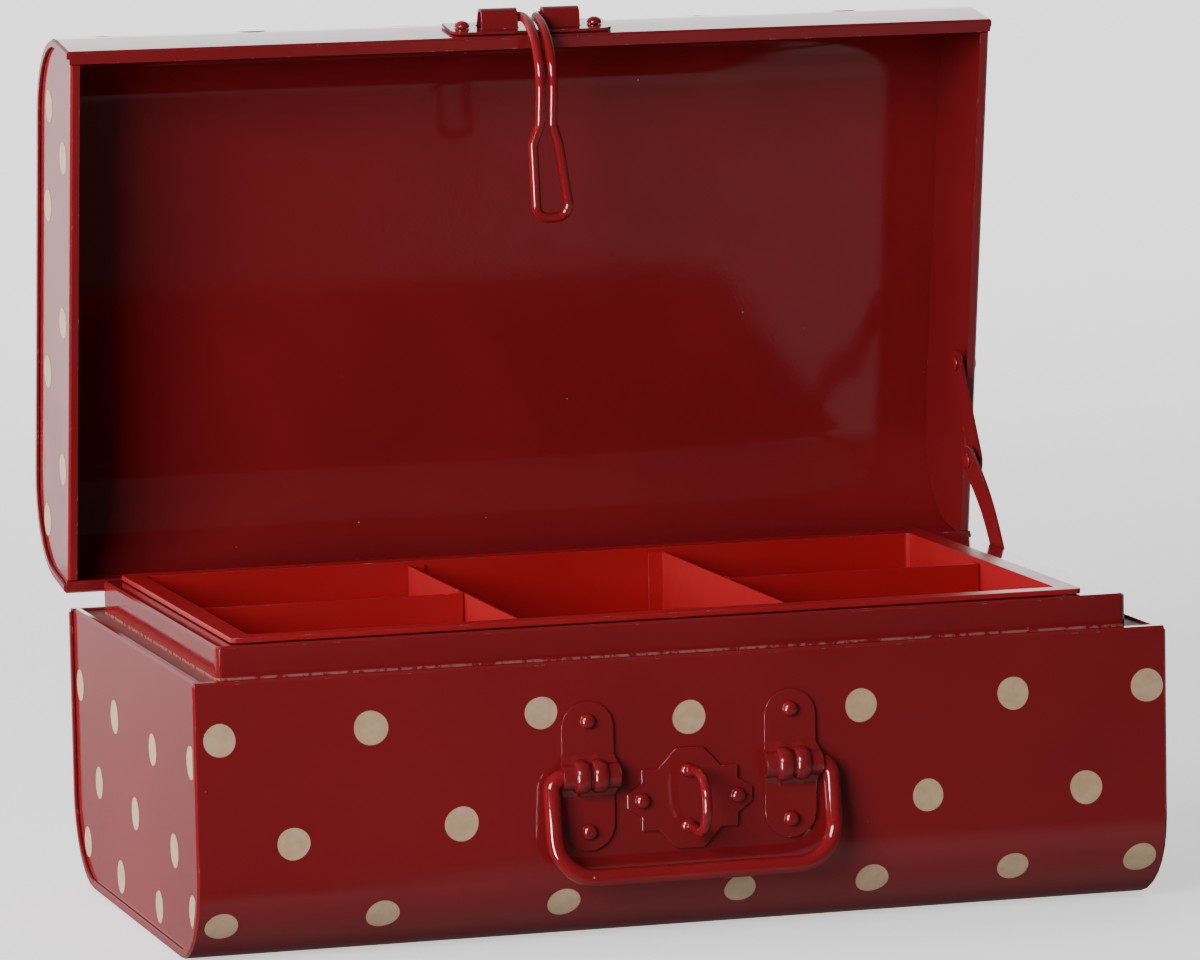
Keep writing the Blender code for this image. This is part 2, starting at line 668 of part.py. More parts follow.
def add_staple():
    """A pressed plate with stepped corners, the upright wire loop that stands out of it, and its rivets."""
    half_height = STAPLE_PLATE_HEIGHT / 2
    quarter = [(x * STAPLE_PLATE_HALF, z * half_height) for x, z in STAPLE_PLATE_SHARES]
    right = quarter + [(x, -z) for x, z in reversed(quarter)]
    outlines = [right + [(-x, z) for x, z in reversed(right)]]
    rivets, feet = [], []
    for side in (-1, 1):
        rivet_x, foot_z = side * (STAPLE_PLATE_HALF - STAPLE_RIVET_INSET), side * STAPLE_FOOT_SPACING / 2
        outlines.append(circle(rivet_x, 0, RIVET_HOLE_RADIUS))
        outlines.append(circle(0, foot_z, STAPLE_WIRE_RADIUS + SEAT_GAP))
        rivets.append(STAPLE_CENTRE + Vector((rivet_x, -2 * SEAT_GAP - STAPLE_PLATE_SHEET, 0)))
        feet.append(STAPLE_CENTRE + Vector((0, 0, foot_z)))
    plate = add_outline("staple_plate", outlines, STAPLE_PLATE_SHEET / 2, PAINT)
    plate.location = STAPLE_CENTRE - Vector((0, SEAT_GAP + STAPLE_PLATE_SHEET / 2, 0))
    plate.rotation_euler.x = math.pi / 2
    add_rivets("staple_rivet", rivets, (0, -1, 0), STAPLE_PLATE_SHEET + SHEET)
    add_staple_loop()
    return rivets, feet


def add_staple_loop():
    half_foot, half_loop = STAPLE_FOOT_SPACING / 2, STAPLE_LOOP_HEIGHT / 2
    crest = STAPLE_WIRE_RADIUS - STAPLE_REACH
    upper = [(0, SHEET + STAPLE_TAIL, half_foot), (0, -STAPLE_SHOULDER, half_foot), (0, crest, half_loop)]
    corners = upper + [(x, y, -z) for x, y, z in reversed(upper)]
    radii = (STAPLE_SHOULDER, STAPLE_LOOP_RADIUS, STAPLE_LOOP_RADIUS, STAPLE_SHOULDER)
    loop = add_tube("staple_loop", rounded_route(corners, radii, 6), STAPLE_WIRE_RADIUS, PAINT)
    loop.location = STAPLE_CENTRE


def hasp_sections():
    """(x, points) slices of the hasp plate: flat ones, and ones that arch over the wire in two knuckles."""
    half = HASP_PLATE_WIDTH / 2
    inner = HASP_KNUCKLE_GAP / 2
    outer = inner + HASP_KNUCKLE_LENGTH
    face_y = -HALF_DEPTH - SEAT_GAP - HASP_PLATE_SHEET
    low, high = PARTING + HASP_PLATE_BOTTOM, PARTING + HASP_PLATE_TOP
    radius = HASP_BORE_RADIUS + HASP_PLATE_SHEET
    reach = radius + HASP_TUNNEL_FLARE
    arc = tunnel_arc(HASP_PIVOT, radius, BRACKET_ARC_STEPS)
    foot = [(face_y, low), (face_y, HASP_PIVOT.z - reach)]
    head = [(face_y, HASP_PIVOT.z + reach), (face_y, high)]
    arched = foot + arc + head
    straight = foot + [(face_y, z) for y, z in arc] + head
    knuckle = [(inner - HASP_SLIT, straight), (inner, arched), (outer, arched), (outer + HASP_SLIT, straight)]
    edges = knuckle + [(half, straight)]
    slices = [(-x, points) for x, points in reversed(edges)] + edges
    return [[Vector((FITTING_SHIFT + x, y, z)) for y, z in points] for x, points in slices]


def add_hasp_plate():
    """A plate on the lid's front with two pressed knuckles, each cut free at its ends."""
    sections = hasp_sections()
    slits = (1, 3, 5, 7)
    last_row = len(sections[0]) - 2

    def keep(column, row):
        return column not in slits or row in (0, last_row)

    plate = add_sheet("hasp_plate", sections, Vector((0, -1, 0)), HASP_PLATE_SHEET, PAINT, keep=keep)
    round_free_corners(plate, PARTING + HASP_PLATE_BOTTOM, HASP_CHAMFER)
    y = -HALF_DEPTH - 2 * SEAT_GAP - HASP_PLATE_SHEET
    offsets = [FITTING_SHIFT + side * HASP_RIVET_SPACING / 2 for side in (-1, 1)]
    places = [Vector((x, y, HASP_PIVOT.z)) for x in offsets]
    rivets = add_rivets("hasp_rivet", places, (0, -1, 0), HASP_PLATE_SHEET + SHEET)
    return plate, rivets, places


def add_hasp_wire(parent):
    """One wire: out of each knuckle, over the lid's rim in an arc, then straight on to the loop."""
    leg, loop = HASP_LEG_SPACING / 2, HASP_LOOP_WIDTH / 2
    end = HASP_KNUCKLE_GAP / 2 + HASP_KNUCKLE_LENGTH - HASP_WIRE_RADIUS
    low = -HASP_BEND_RADIUS - HASP_ARC_RADIUS
    neck = HASP_ARC_RADIUS + HASP_LEG_LENGTH
    shoulder = neck + HASP_SPLAY_LENGTH
    tip = shoulder + HASP_LOOP_LENGTH
    half = [(end, 0, 0), (leg, 0, 0), (leg, 0, low), (leg, neck, low), (loop, shoulder, low), (loop, tip, low)]
    corners = half + [(-x, y, z) for x, y, z in reversed(half)]
    radii = [HASP_BEND_RADIUS, HASP_ARC_RADIUS, HASP_BEND_RADIUS, HASP_BEND_RADIUS, HASP_LOOP_CORNER]
    wire = add_tube("hasp_wire", rounded_route(corners, radii + radii[::-1], 5), HASP_WIRE_RADIUS, PAINT)
    wire.parent = make_pivot("hasp_pivot", HASP_PIVOT, parent)


def link_outline(length, bow):
    """A strip with round ends, from an eye at the origin to an eye at (length, 0), bowed to one side."""
    half = STAY_WIDTH / 2

    def middle(share):
        return Vector((length * share, bow * math.sin(math.pi * share)))

    def across(share):
        slope = bow * math.pi / length * math.cos(math.pi * share)
        return Vector((-slope, 1)).normalized() * half

    shares = [step / STAY_STEPS for step in range(STAY_STEPS + 1)]
    turns = [Matrix.Rotation(-math.pi * share, 2) for share in shares[1:-1]]
    outline = [middle(share) + across(share) for share in shares]
    outline += [middle(1) + turn @ across(1) for turn in turns]
    outline += [middle(share) - across(share) for share in reversed(shares)]
    outline += [middle(0) - turn @ across(0) for turn in turns]
    return [tuple(place) for place in outline]


def add_link(name, length, bow, x, pivot, angle):
    """A stay link in the plane x, its first eye on a pivot and its run turned to an angle in that plane."""
    eyes = [circle(0, 0, RIVET_HOLE_RADIUS), circle(length, 0, RIVET_HOLE_RADIUS)]
    outlines = [link_outline(length, bow)] + eyes
    link = add_outline(name, outlines, STAY_SHEET / 2, PAINT)
    stand = Matrix(((0, 0, 1), (1, 0, 0), (0, 1, 0))).to_4x4()
    link.parent = pivot
    link.matrix_local = Matrix.Translation((x, 0, 0)) @ stand
    pivot.rotation_euler.x = angle
    return link


def opened(place):
    """Where a point of the shut lid is once the lid is open."""
    return HINGE_AXIS + Matrix.Rotation(-LID_OPEN_ANGLE, 3, "X") @ (place - HINGE_AXIS)


def angle_of(run):
    return math.atan2(run.z, run.y)


def add_stay(lid_pivot):
    """The folding stay: a link riveted to the lid's end and a bowed link riveted to the neck, met at an elbow.

    The elbow's rivet is in two halves, one on each link, because each link turns with the lid on its own.
    """
    lid_eye = Vector((0, HALF_DEPTH - STAY_LID_REACH, PARTING + STAY_LID_HEIGHT))
    foot = Vector((0, STAY_FOOT_BACK, BASE_HEIGHT + STAY_FOOT_HEIGHT))
    run = foot - opened(lid_eye)
    sag = Vector((0, -run.z, run.y)).normalized() * STAY_SAG
    elbow = opened(lid_eye) + run * STAY_ELBOW_SHARE + sag
    upper_run, lower_run = elbow - opened(lid_eye), elbow - foot
    upper_pivot = make_pivot("stay_upper_pivot", lid_eye, lid_pivot)
    lower_pivot = make_pivot("stay_lower_pivot", foot)
    upper_angle = angle_of(upper_run) + LID_OPEN_ANGLE
    add_link("stay_upper_link", upper_run.length, 0, STAY_UPPER_X, upper_pivot, upper_angle)
    add_link("stay_lower_link", lower_run.length, STAY_BOW, STAY_LOWER_X, lower_pivot, angle_of(lower_run))
    add_elbow_halves(upper_pivot, upper_run.length, lower_pivot, lower_run.length)
    add_stay_rivets(lid_pivot, lid_eye, foot)


def add_elbow_halves(upper_pivot, upper_length, lower_pivot, lower_length):
    half_seat = STAY_SHEET / 2 + SEAT_GAP
    stud = rivet_profile(2 * half_seat, STAY_HEAD_HEIGHT, STAY_LINK_GAP - 2 * SEAT_GAP)
    rivet = add_turned("stay_elbow_rivet", stud, (STAY_UPPER_X + half_seat, upper_length, 0), (1, 0, 0))
    rivet.parent = upper_pivot
    cap = rivet_profile(STAY_SHEET, STAY_HEAD_HEIGHT, 0)
    cap_place = (STAY_LOWER_X - half_seat, lower_length, 0)
    half = add_turned("stay_elbow_cap", cap, cap_place, (-1, 0, 0))
    half.parent = lower_pivot


def add_stay_rivets(lid_pivot, lid_eye, foot):
    """The rivet that hangs the stay on the lid's end panel, and the one that holds its foot to the neck."""
    half_seat = STAY_SHEET / 2 + SEAT_GAP
    head_x = STAY_UPPER_X - half_seat
    panel_inside = HALF_WIDTH - SEAT - SHEET
    spacer = (2 * half_seat, panel_inside - SEAT_GAP - head_x)
    reach = panel_inside + SHEET + SEAT_GAP - head_x
    lid_profile = rivet_profile(reach, STAY_HEAD_HEIGHT, RIVET_TAIL_HEIGHT, spacer)
    lid_rivet = add_turned("stay_lid_rivet", lid_profile, lid_eye + Vector((head_x, 0, 0)), (-1, 0, 0))
    hang_on(lid_pivot, lid_rivet)
    foot_profile = rivet_profile(STAY_SHEET + SHEET + 3 * SEAT_GAP, STAY_HEAD_HEIGHT, RIVET_TAIL_HEIGHT)
    add_turned("stay_foot_rivet", foot_profile, foot + Vector((STAY_LOWER_X + half_seat, 0, 0)), (1, 0, 0))
    panel_cutter = add_cutter("lid_end_hole", [lid_eye + Vector((panel_inside, 0, 0))], (1, 0, 0))
    hang_on(lid_pivot, panel_cutter)
    cut_holes(panel_cutter, bpy.data.objects["lid_end_right"])
    neck_cutter = add_cutter("neck_hole", [foot + Vector((NECK_WALL, 0, 0))], (1, 0, 0))
    cut_holes(neck_cutter, bpy.data.objects["neck_frame"])


def add_shells():
    """The base's and the lid's sheets, and the neck between them."""
    base_shape = (BASE_HEM, BASE_HEIGHT, BASE_CORNER_RADIUS, in_base)
    lid_shape = (LID_RIM, LID_HEIGHT, LID_CORNER_RADIUS, in_lid)
    base_wrap = add_wrap("base_wrap", *base_shape, Vector((0, 0, -1)))
    lid_pieces = [add_wrap("lid_wrap", *lid_shape, Vector((0, 0, 1)))]
    for side, label in ((-1, "left"), (1, "right")):
        add_end_panel("base_end_" + label, side, *base_shape)
        lid_pieces.append(add_end_panel("lid_end_" + label, side, *lid_shape))
    add_neck()
    return base_wrap, lid_pieces


def add_front_and_back_fittings(base_wrap, lid_wrap):
    """Everything riveted through the front and the back. Returns what swings with the lid."""
    base_leaves, lid_leaves = add_hinges()
    base_places, lid_places = hinge_rivet_places(1), hinge_rivet_places(-1)
    add_rivets("hinge_base_rivet", base_places, (0, 1, 0), HINGE_LEAF + SHEET)
    lid_rivets = add_rivets("hinge_lid_rivet", lid_places, (0, 1, 0), HINGE_LEAF + SHEET)
    cut_holes(add_cutter("base_hinge_holes", base_places, (0, 1, 0)), base_wrap, *base_leaves)
    lid_hinge_cutter = add_cutter("lid_hinge_holes", lid_places, (0, 1, 0))
    cut_holes(lid_hinge_cutter, lid_wrap, *lid_leaves)
    brackets, bracket_places = add_brackets()
    staple_places, feet = add_staple()
    cut_holes(add_cutter("bracket_holes", bracket_places, (0, 1, 0)), base_wrap, *brackets)
    cut_holes(add_cutter("staple_holes", staple_places, (0, 1, 0)), base_wrap)
    cut_holes(add_cutter("staple_foot_holes", feet, (0, 1, 0), STAPLE_WIRE_RADIUS + SEAT_GAP), base_wrap)
    plate, hasp_rivets, hasp_places = add_hasp_plate()
    hasp_cutter = add_cutter("hasp_holes", hasp_places, (0, 1, 0))
    cut_holes(hasp_cutter, lid_wrap, plate)
    return [*lid_leaves, *lid_rivets, lid_hinge_cutter, plate, *hasp_rivets, hasp_cutter]


def build_suitcase():
    base_wrap, lid_pieces = add_shells()
    lid_pieces += add_front_and_back_fittings(base_wrap, lid_pieces[0])
    add_tray()
    add_handle()
    lid_pivot = make_pivot("lid_pivot", HINGE_AXIS)
    hang_on(lid_pivot, *lid_pieces)
    add_hasp_wire(lid_pivot)
    add_stay(lid_pivot)
    lid_pivot.rotation_euler.x = -LID_OPEN_ANGLE


build_suitcase()
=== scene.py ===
# %% [markdown]
# A pressed steel suitcase in deep red enamel, with printed cream dots, a lift-out tray, a folding stay
# and a wire hasp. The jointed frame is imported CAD; this lesson gives it its looks. Every step first says
# what the real piece is, how it could be made in Blender, and why one way was chosen.

import json
import math

import bmesh
import bpy
from mathutils import Matrix, Vector

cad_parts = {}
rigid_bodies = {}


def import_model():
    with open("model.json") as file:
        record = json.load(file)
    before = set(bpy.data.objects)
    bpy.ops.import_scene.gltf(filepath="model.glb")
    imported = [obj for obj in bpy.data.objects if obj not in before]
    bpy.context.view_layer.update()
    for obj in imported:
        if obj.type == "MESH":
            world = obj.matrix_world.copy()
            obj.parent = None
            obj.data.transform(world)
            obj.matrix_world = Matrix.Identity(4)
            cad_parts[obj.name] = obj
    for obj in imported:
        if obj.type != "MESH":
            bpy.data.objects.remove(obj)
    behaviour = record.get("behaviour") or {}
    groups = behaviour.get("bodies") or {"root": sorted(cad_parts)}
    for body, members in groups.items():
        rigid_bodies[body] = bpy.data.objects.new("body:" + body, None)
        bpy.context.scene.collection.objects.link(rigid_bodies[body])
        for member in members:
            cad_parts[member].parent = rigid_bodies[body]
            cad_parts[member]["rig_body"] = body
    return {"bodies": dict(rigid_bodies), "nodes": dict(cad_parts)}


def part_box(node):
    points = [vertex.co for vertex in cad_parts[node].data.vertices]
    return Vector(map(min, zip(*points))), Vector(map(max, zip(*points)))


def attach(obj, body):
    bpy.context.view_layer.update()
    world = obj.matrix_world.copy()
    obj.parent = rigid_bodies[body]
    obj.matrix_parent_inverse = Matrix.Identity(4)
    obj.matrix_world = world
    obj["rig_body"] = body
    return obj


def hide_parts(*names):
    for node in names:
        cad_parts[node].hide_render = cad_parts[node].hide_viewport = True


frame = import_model()
nodes, bodies = frame["nodes"], frame["bodies"]
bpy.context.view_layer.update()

# %% [markdown]
# The photograph was taken with a long lens from the left and a little above. The camera's place and turn
# were solved from corners that can be named in both the picture and the model, so the two can be compared
# point by point. A camera is only a matrix: its columns are where its right, its up and its back point.

# %% Camera
YAW, PITCH, ROLL = 0.28043416, 0.12199482, -0.018508999
CAMERA_PLACE = Vector((-0.600586, -2.080495, 0.392531))
FOCAL_LENGTH, SENSOR_WIDTH = 214.126, 36
ahead = Vector((math.sin(YAW) * math.cos(PITCH), math.cos(YAW) * math.cos(PITCH), -math.sin(PITCH)))
level_right = Vector((math.cos(YAW), -math.sin(YAW), 0))
level_up = level_right.cross(ahead)
right = level_right * math.cos(ROLL) + level_up * math.sin(ROLL)
up = level_up * math.cos(ROLL) - level_right * math.sin(ROLL)
lens = bpy.data.cameras.new("photo_camera")
lens.lens, lens.sensor_width, lens.sensor_fit = FOCAL_LENGTH, SENSOR_WIDTH, "HORIZONTAL"
lens.clip_start, lens.clip_end = 0.05, 20
camera = bpy.data.objects.new("photo_camera", lens)
camera.matrix_world = Matrix((right, up, -ahead)).transposed().to_4x4()
camera.matrix_world.translation = CAMERA_PLACE
bpy.context.scene.collection.objects.link(camera)
bpy.context.scene.camera = camera
print("camera at", [round(v, 3) for v in CAMERA_PLACE])

# %% [markdown]
# The wires, the printed dots and the open lid have to meet the frame, so they are worked out from the same
# few sizes as the case itself. The lid stands open by one turn about the hinges' axis. Whatever belongs to
# it is drawn as on the shut case, where its sizes are plain, and is then swung open by that same turn.

# %% Sizes of the case
HALF_DEPTH, END_PANEL = 0.0865, 0.1489
BASE_HEIGHT, BASE_BEND = 0.085, 0.027
PARTING, LID_HEIGHT, LID_BEND = 0.0853, 0.046, 0.028
FITTING_SHIFT = -0.0007
HINGE_AXIS = Vector((0, 0.09065, 0.0843))
LID_OPEN = math.radians(-81.2)
lid_turn = Matrix.Rotation(LID_OPEN, 3, "X")
opening = Matrix.Translation(HINGE_AXIS) @ Matrix.Rotation(LID_OPEN, 4, "X") @ Matrix.Translation(-HINGE_AXIS)
print("lid open by", round(-math.degrees(LID_OPEN), 1), "degrees")

# %% [markdown]
# Shader maths reads best as maths. A Val wraps one socket; adding, multiplying or comparing Vals adds the
# Math nodes that do it. Any other node comes from one method, which sets the node's own settings first
# and then its sockets. Colours never go through Math nodes, which would turn them grey.

# %% A wrapper for sockets, and a material to hold them


class Val:
    """One output socket of a material's nodes, with Python's operators on it."""

    def __init__(self, paint, socket):
        self.paint, self.socket = paint, socket

    def _math(self, operation, *values):
        return self.paint.node("ShaderNodeMath", {"operation": operation}, dict(enumerate(values)))

    def __add__(self, other):
        return self._math("ADD", self, other)

    def __sub__(self, other):
        return self._math("SUBTRACT", self, other)

    def __rsub__(self, other):
        return self._math("SUBTRACT", other, self)

    def __mul__(self, other):
        return self._math("MULTIPLY", self, other)

    def __lt__(self, other):
        return self._math("LESS_THAN", self, other)

    __radd__, __rmul__ = __add__, __mul__

    def ramp(self, low, high):
        """0 below low, 1 above high, and smooth between them."""
        settings = {"interpolation_type": "SMOOTHSTEP", "clamp": True}
        return self.paint.node("ShaderNodeMapRange", settings, {"Value": self, "From Min": low, "From Max": high})

    def beside(self, output):
        """Another output of the same node, by its name."""
        return Val(self.paint, self.socket.node.outputs[output])


class Paint:
    """A material, or the world, whose nodes are added by kind."""

    def __init__(self, name):
        self.material = bpy.data.materials.new(name)
        self.material.use_nodes = True
        self.tree = self.material.node_tree
        self.shader = self.tree.nodes["Principled BSDF"]

    @classmethod
    def over(cls, holder, shader):
        paint = cls.__new__(cls)
        paint.tree, paint.shader = holder.node_tree, holder.node_tree.nodes[shader]
        return paint

    def node(self, kind, settings=None, values=None, output=0):
        made = self.tree.nodes.new(kind)
        for key, value in (settings or {}).items():
            setattr(made, key, value)
        for key, value in (values or {}).items():
            if isinstance(value, Val):
                self.tree.links.new(value.socket, made.inputs[key])
            else:
                made.inputs[key].default_value = value
        return Val(self, made.outputs[output])

    def set(self, **values):
        for key, value in values.items():
            name = key.replace("_", " ")
            if isinstance(value, Val):
                self.tree.links.new(value.socket, self.shader.inputs[name])
            else:
                self.shader.inputs[name].default_value = value


print("socket maths ready")

# %% [markdown]
# The enamel is one idea used again and again: deep red on the case and its wires, a brighter but less
# shiny red on the tray, and the same steps in cream for the dots. Sprayed enamel is never one colour. It
# clouds a little, its skin has a fine orange peel, the thin sheet under it is not quite flat, dust settles
# in specks, and the corners chip. Each is one small step on Object coordinates, so it stays with its piece.

# %% Steps that every enamel shares


def place_of(paint):
    return paint.node("ShaderNodeTexCoord", output="Object")


def cloud(paint, size, detail=2.0, roughness=0.5):
    """Soft noise whose patches are about size metres across."""
    values = {"Vector": place_of(paint), "Scale": 1 / size, "Detail": detail, "Roughness": roughness}
    return paint.node("ShaderNodeTexNoise", {"noise_dimensions": "3D"}, values)


def specks(paint, spacing, share, size):
    """Round specks in a share of the cells of a loose grid; size is the speck's part of a cell."""
    values = {"Vector": place_of(paint), "Scale": 1 / spacing, "Randomness": 1.0}
    distance = paint.node("ShaderNodeTexVoronoi", {"feature": "F1"}, values)
    chance = paint.node("ShaderNodeSeparateColor", values={"Color": distance.beside("Color")})
    return (chance < share) * (distance < chance.beside("Green") * size)


def blend_colour(paint, mask, first, second):
    settings = {"data_type": "RGBA", "blend_type": "MIX", "clamp_factor": True}
    return paint.node("ShaderNodeMix", settings, {0: mask, 6: first, 7: second}, output=2)


def sheet_bump(paint, peel, wave):
    """Fine orange peel over the long, shallow waves of thin sheet."""
    fine = {"Height": cloud(paint, 0.0011, 1), "Distance": peel, "Strength": 1.0}
    peeled = paint.node("ShaderNodeBump", values=fine)
    waves = {"Height": cloud(paint, 0.045, 1), "Distance": wave, "Strength": 1.0, "Normal": peeled}
    return paint.node("ShaderNodeBump", values=waves)


def worn_corners(paint, radius):
    """Nicks on corners: where a rounded normal leaves the true one, but only in patches of noise."""
    rounded = paint.node("ShaderNodeBevel", {"samples": 4}, {"Radius": radius})
    true_normal = paint.node("ShaderNodeNewGeometry", output="Normal")
    vectors = {0: rounded, 1: true_normal}
    likeness = paint.node("ShaderNodeVectorMath", {"operation": "DOT_PRODUCT"}, vectors, output="Value")
    return (1 - likeness).ramp(0.02, 0.12) * cloud(paint, 0.0035, 3, 0.7).ramp(0.59, 0.66)


print("enamel steps ready")

# %% [markdown]
# Case enamel: deep red, nearly a mirror. The chips show the pink-grey primer; dust is matt and pale. The
# ledge round the neck is hard to wipe, so brown dust lies on it, and a thin broken line of it has gathered
# where the neck's wall meets the ledge. Both are picked out by height and by which way the sheet faces,
# which needs no painted mask and follows the ledge all round.

# %% Case enamel
LEDGE_HEIGHT, FOOT_DEPTH, CHIP_ROUND = 0.0858, 0.0010, 0.0005
PRIMER, PALE_DUST = (0.42, 0.16, 0.14, 1), (0.42, 0.30, 0.27, 1)
LEDGE_DUST, FOOT_DUST = (0.23, 0.078, 0.066, 1), (0.27, 0.115, 0.10, 1)
CASE_RED, WIRE_RED, TRAY_RED = (0.19, 0.0102, 0.0135), (0.22, 0.0095, 0.0130), (0.31, 0.0105, 0.0145)


def ledge_dust(paint):
    """1 where old dust lies: on the level ledge below the neck, and in the foot of the neck's wall."""
    height = paint.node("ShaderNodeSeparateXYZ", values={"Vector": place_of(paint)}, output="Z")
    facing = paint.node("ShaderNodeNewGeometry", output="Normal")
    level = paint.node("ShaderNodeSeparateXYZ", values={"Vector": facing}, output="Z").ramp(0.6, 0.9)
    patches = cloud(paint, 0.0045, 5, 0.7).ramp(0.30, 0.52)
    on_ledge = level * (height < LEDGE_HEIGHT) * (patches * 0.35 + 0.65)
    in_foot = (height < LEDGE_HEIGHT - FOOT_DEPTH) * cloud(paint, 0.003, 4, 0.7).ramp(0.42, 0.54) * 0.8
    return on_ledge, in_foot * (1 - level)


def enamel(name, colour, roughness, peel=0.000012, wave=0.00018, haze=0.07, shine=0.5, dusty_ledge=False):
    paint = Paint(name)
    dark, light = ((*[part * tone for part in colour], 1) for tone in (0.95, 1.05))
    body = blend_colour(paint, cloud(paint, 0.06, 3).ramp(0.3, 0.7), dark, light)
    chips = worn_corners(paint, CHIP_ROUND)
    dusty = specks(paint, 0.0042, 0.07, 0.08)
    finished = blend_colour(paint, dusty, blend_colour(paint, chips, body, PRIMER), PALE_DUST)
    dullness = cloud(paint, 0.02, 4, 0.6).ramp(0.35, 0.8) * haze + dusty * 0.5 + chips * 0.3
    if dusty_ledge:
        on_ledge, in_foot = ledge_dust(paint)
        finished = blend_colour(paint, on_ledge * 0.8, finished, LEDGE_DUST)
        finished = blend_colour(paint, in_foot, finished, FOOT_DUST)
        dullness = dullness + on_ledge * 0.6 + in_foot * 0.6
    paint.set(Base_Color=finished, Roughness=dullness + roughness, Normal=sheet_bump(paint, peel, wave))
    paint.set(Specular_IOR_Level=shine)
    return paint.material


case_red = enamel("case_red", CASE_RED, 0.08)
wire_red = enamel("wire_red", WIRE_RED, 0.04, wave=0.00002, haze=0.03)
neck_red = enamel("neck_red", CASE_RED, 0.08, dusty_ledge=True)
tray_red = enamel("tray_red", TRAY_RED, 0.30, peel=0.000006, wave=0.0001, shine=0.3)
print("enamels:", case_red.name, wire_red.name, neck_red.name, tray_red.name)

# %% [markdown]
# The dots are thick screen print: cream, a little cloudy, specked, and duller than the enamel round them.
# The hinge pins are bare drawn steel. Drawing leaves a fine grain, so their noise is squeezed in one
# direction before it is read, and it sets the grey, the roughness and the bump together.

# %% Dot print and steel
CREAM, PALE_CREAM, CREAM_SPECK = (0.49, 0.325, 0.195, 1), (0.57, 0.395, 0.255, 1), (0.30, 0.18, 0.14, 1)
DARK_STEEL, PALE_STEEL = (0.42, 0.40, 0.37, 1), (0.60, 0.58, 0.55, 1)


def dot_print():
    paint = Paint("cream_dots")
    tone = cloud(paint, 0.004, 3, 0.6)
    cream = blend_colour(paint, tone.ramp(0.25, 0.75), CREAM, PALE_CREAM)
    specked = blend_colour(paint, specks(paint, 0.003, 0.06, 0.12), cream, CREAM_SPECK)
    paint.set(Base_Color=specked, Roughness=tone * 0.15 + 0.28, Normal=sheet_bump(paint, 0.00001, 0.00005))
    return paint.material


def drawn_steel():
    paint = Paint("pin_metal")
    stretched = paint.node("ShaderNodeMapping", values={"Vector": place_of(paint), "Scale": (40, 1, 1)})
    grain = paint.node("ShaderNodeTexNoise", values={"Vector": stretched, "Scale": 300.0, "Detail": 2.0})
    grey = blend_colour(paint, grain, DARK_STEEL, PALE_STEEL)
    bump = paint.node("ShaderNodeBump", values={"Height": grain, "Distance": 0.00001})
    paint.set(Base_Color=grey, Metallic=1.0, Roughness=grain * 0.2 + 0.25, Normal=bump)
    return paint.material


cream_dots, pin_metal = dot_print(), drawn_steel()
print("dot print and steel ready")

# %% [markdown]
# A piece is finished the same way whatever made it: its bmesh becomes a mesh, the object gets its finish,
# rides on a body of the frame, and stands in for the CAD nodes that it replaces. Faces are shaded smooth,
# and only edges sharper than a given angle are kept crisp.

# %% Finishing a piece


def new_piece(name, bm, material, body, replaced=()):
    """Puts a finished bmesh into the scene, riding on its body."""
    mesh = bpy.data.meshes.new(name)
    bm.to_mesh(mesh)
    bm.free()
    piece = bpy.data.objects.new(name, mesh)
    bpy.context.scene.collection.objects.link(piece)
    mesh.materials.append(material)
    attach(piece, body)
    if replaced:
        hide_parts(*replaced)
    return piece


def shade_smooth(bm, crisp_from=None):
    """Smooth faces; edges of crisp_from degrees or more stay crisp."""
    for face in bm.faces:
        face.smooth = True
    if crisp_from:
        for edge in bm.edges:
            edge.smooth = edge.calc_face_angle(0) < math.radians(crisp_from)


def add_into(whole, part):
    """Pours one bmesh into another, through a mesh that is then thrown away."""
    held = bpy.data.meshes.new("held")
    part.to_mesh(held)
    part.free()
    whole.from_mesh(held)
    bpy.data.meshes.remove(held)


print("ready to finish pieces")

# %% [markdown]
# Every sheet part of the frame is a sound solid with sharp corners. On the real case each corner is eased
# by the press and thickened by enamel, and that thin rounded edge is what catches the light. So a copy is
# merged, its flat faces are joined up again, and every corner sharper than a bend step is bevelled. A fold
# between two broad faces gets a larger round first, because the sheet was bent there and not sheared.

# %% Eased copies of the sheet parts
FOLD_RADIUS, BROAD = 0.0008, 0.0022
SHEET_EASE, TRAY_EASE, FITTING_EASE = 0.00026, 0.00022, 0.00038


def merged(node):
    bm = bmesh.new()
    bm.from_mesh(nodes[node].data)
    bmesh.ops.remove_doubles(bm, verts=bm.verts[:], dist=2e-6)
    bmesh.ops.dissolve_limit(bm, angle_limit=math.radians(0.6), verts=bm.verts[:], edges=bm.edges[:])
    return bm


def bevelled(bm, edges, offset, segments):
    bmesh.ops.bevel(
        bm, geom=edges, offset=offset, offset_type="OFFSET", segments=segments, profile=0.5, affect="EDGES",
        material=-1, clamp_overlap=True, loop_slide=True)


def breadth(face):
    """The width of a long strip, or about half the shorter side of a square."""
    return 2 * face.calc_area() / face.calc_perimeter()


def round_the_folds(bm):
    folds = [e for e in bm.edges if len(e.link_faces) == 2 and e.calc_face_angle_signed(0) > math.radians(60)
             and min(breadth(f) for f in e.link_faces) > BROAD]
    bevelled(bm, folds, FOLD_RADIUS, 5)
    return len(folds)


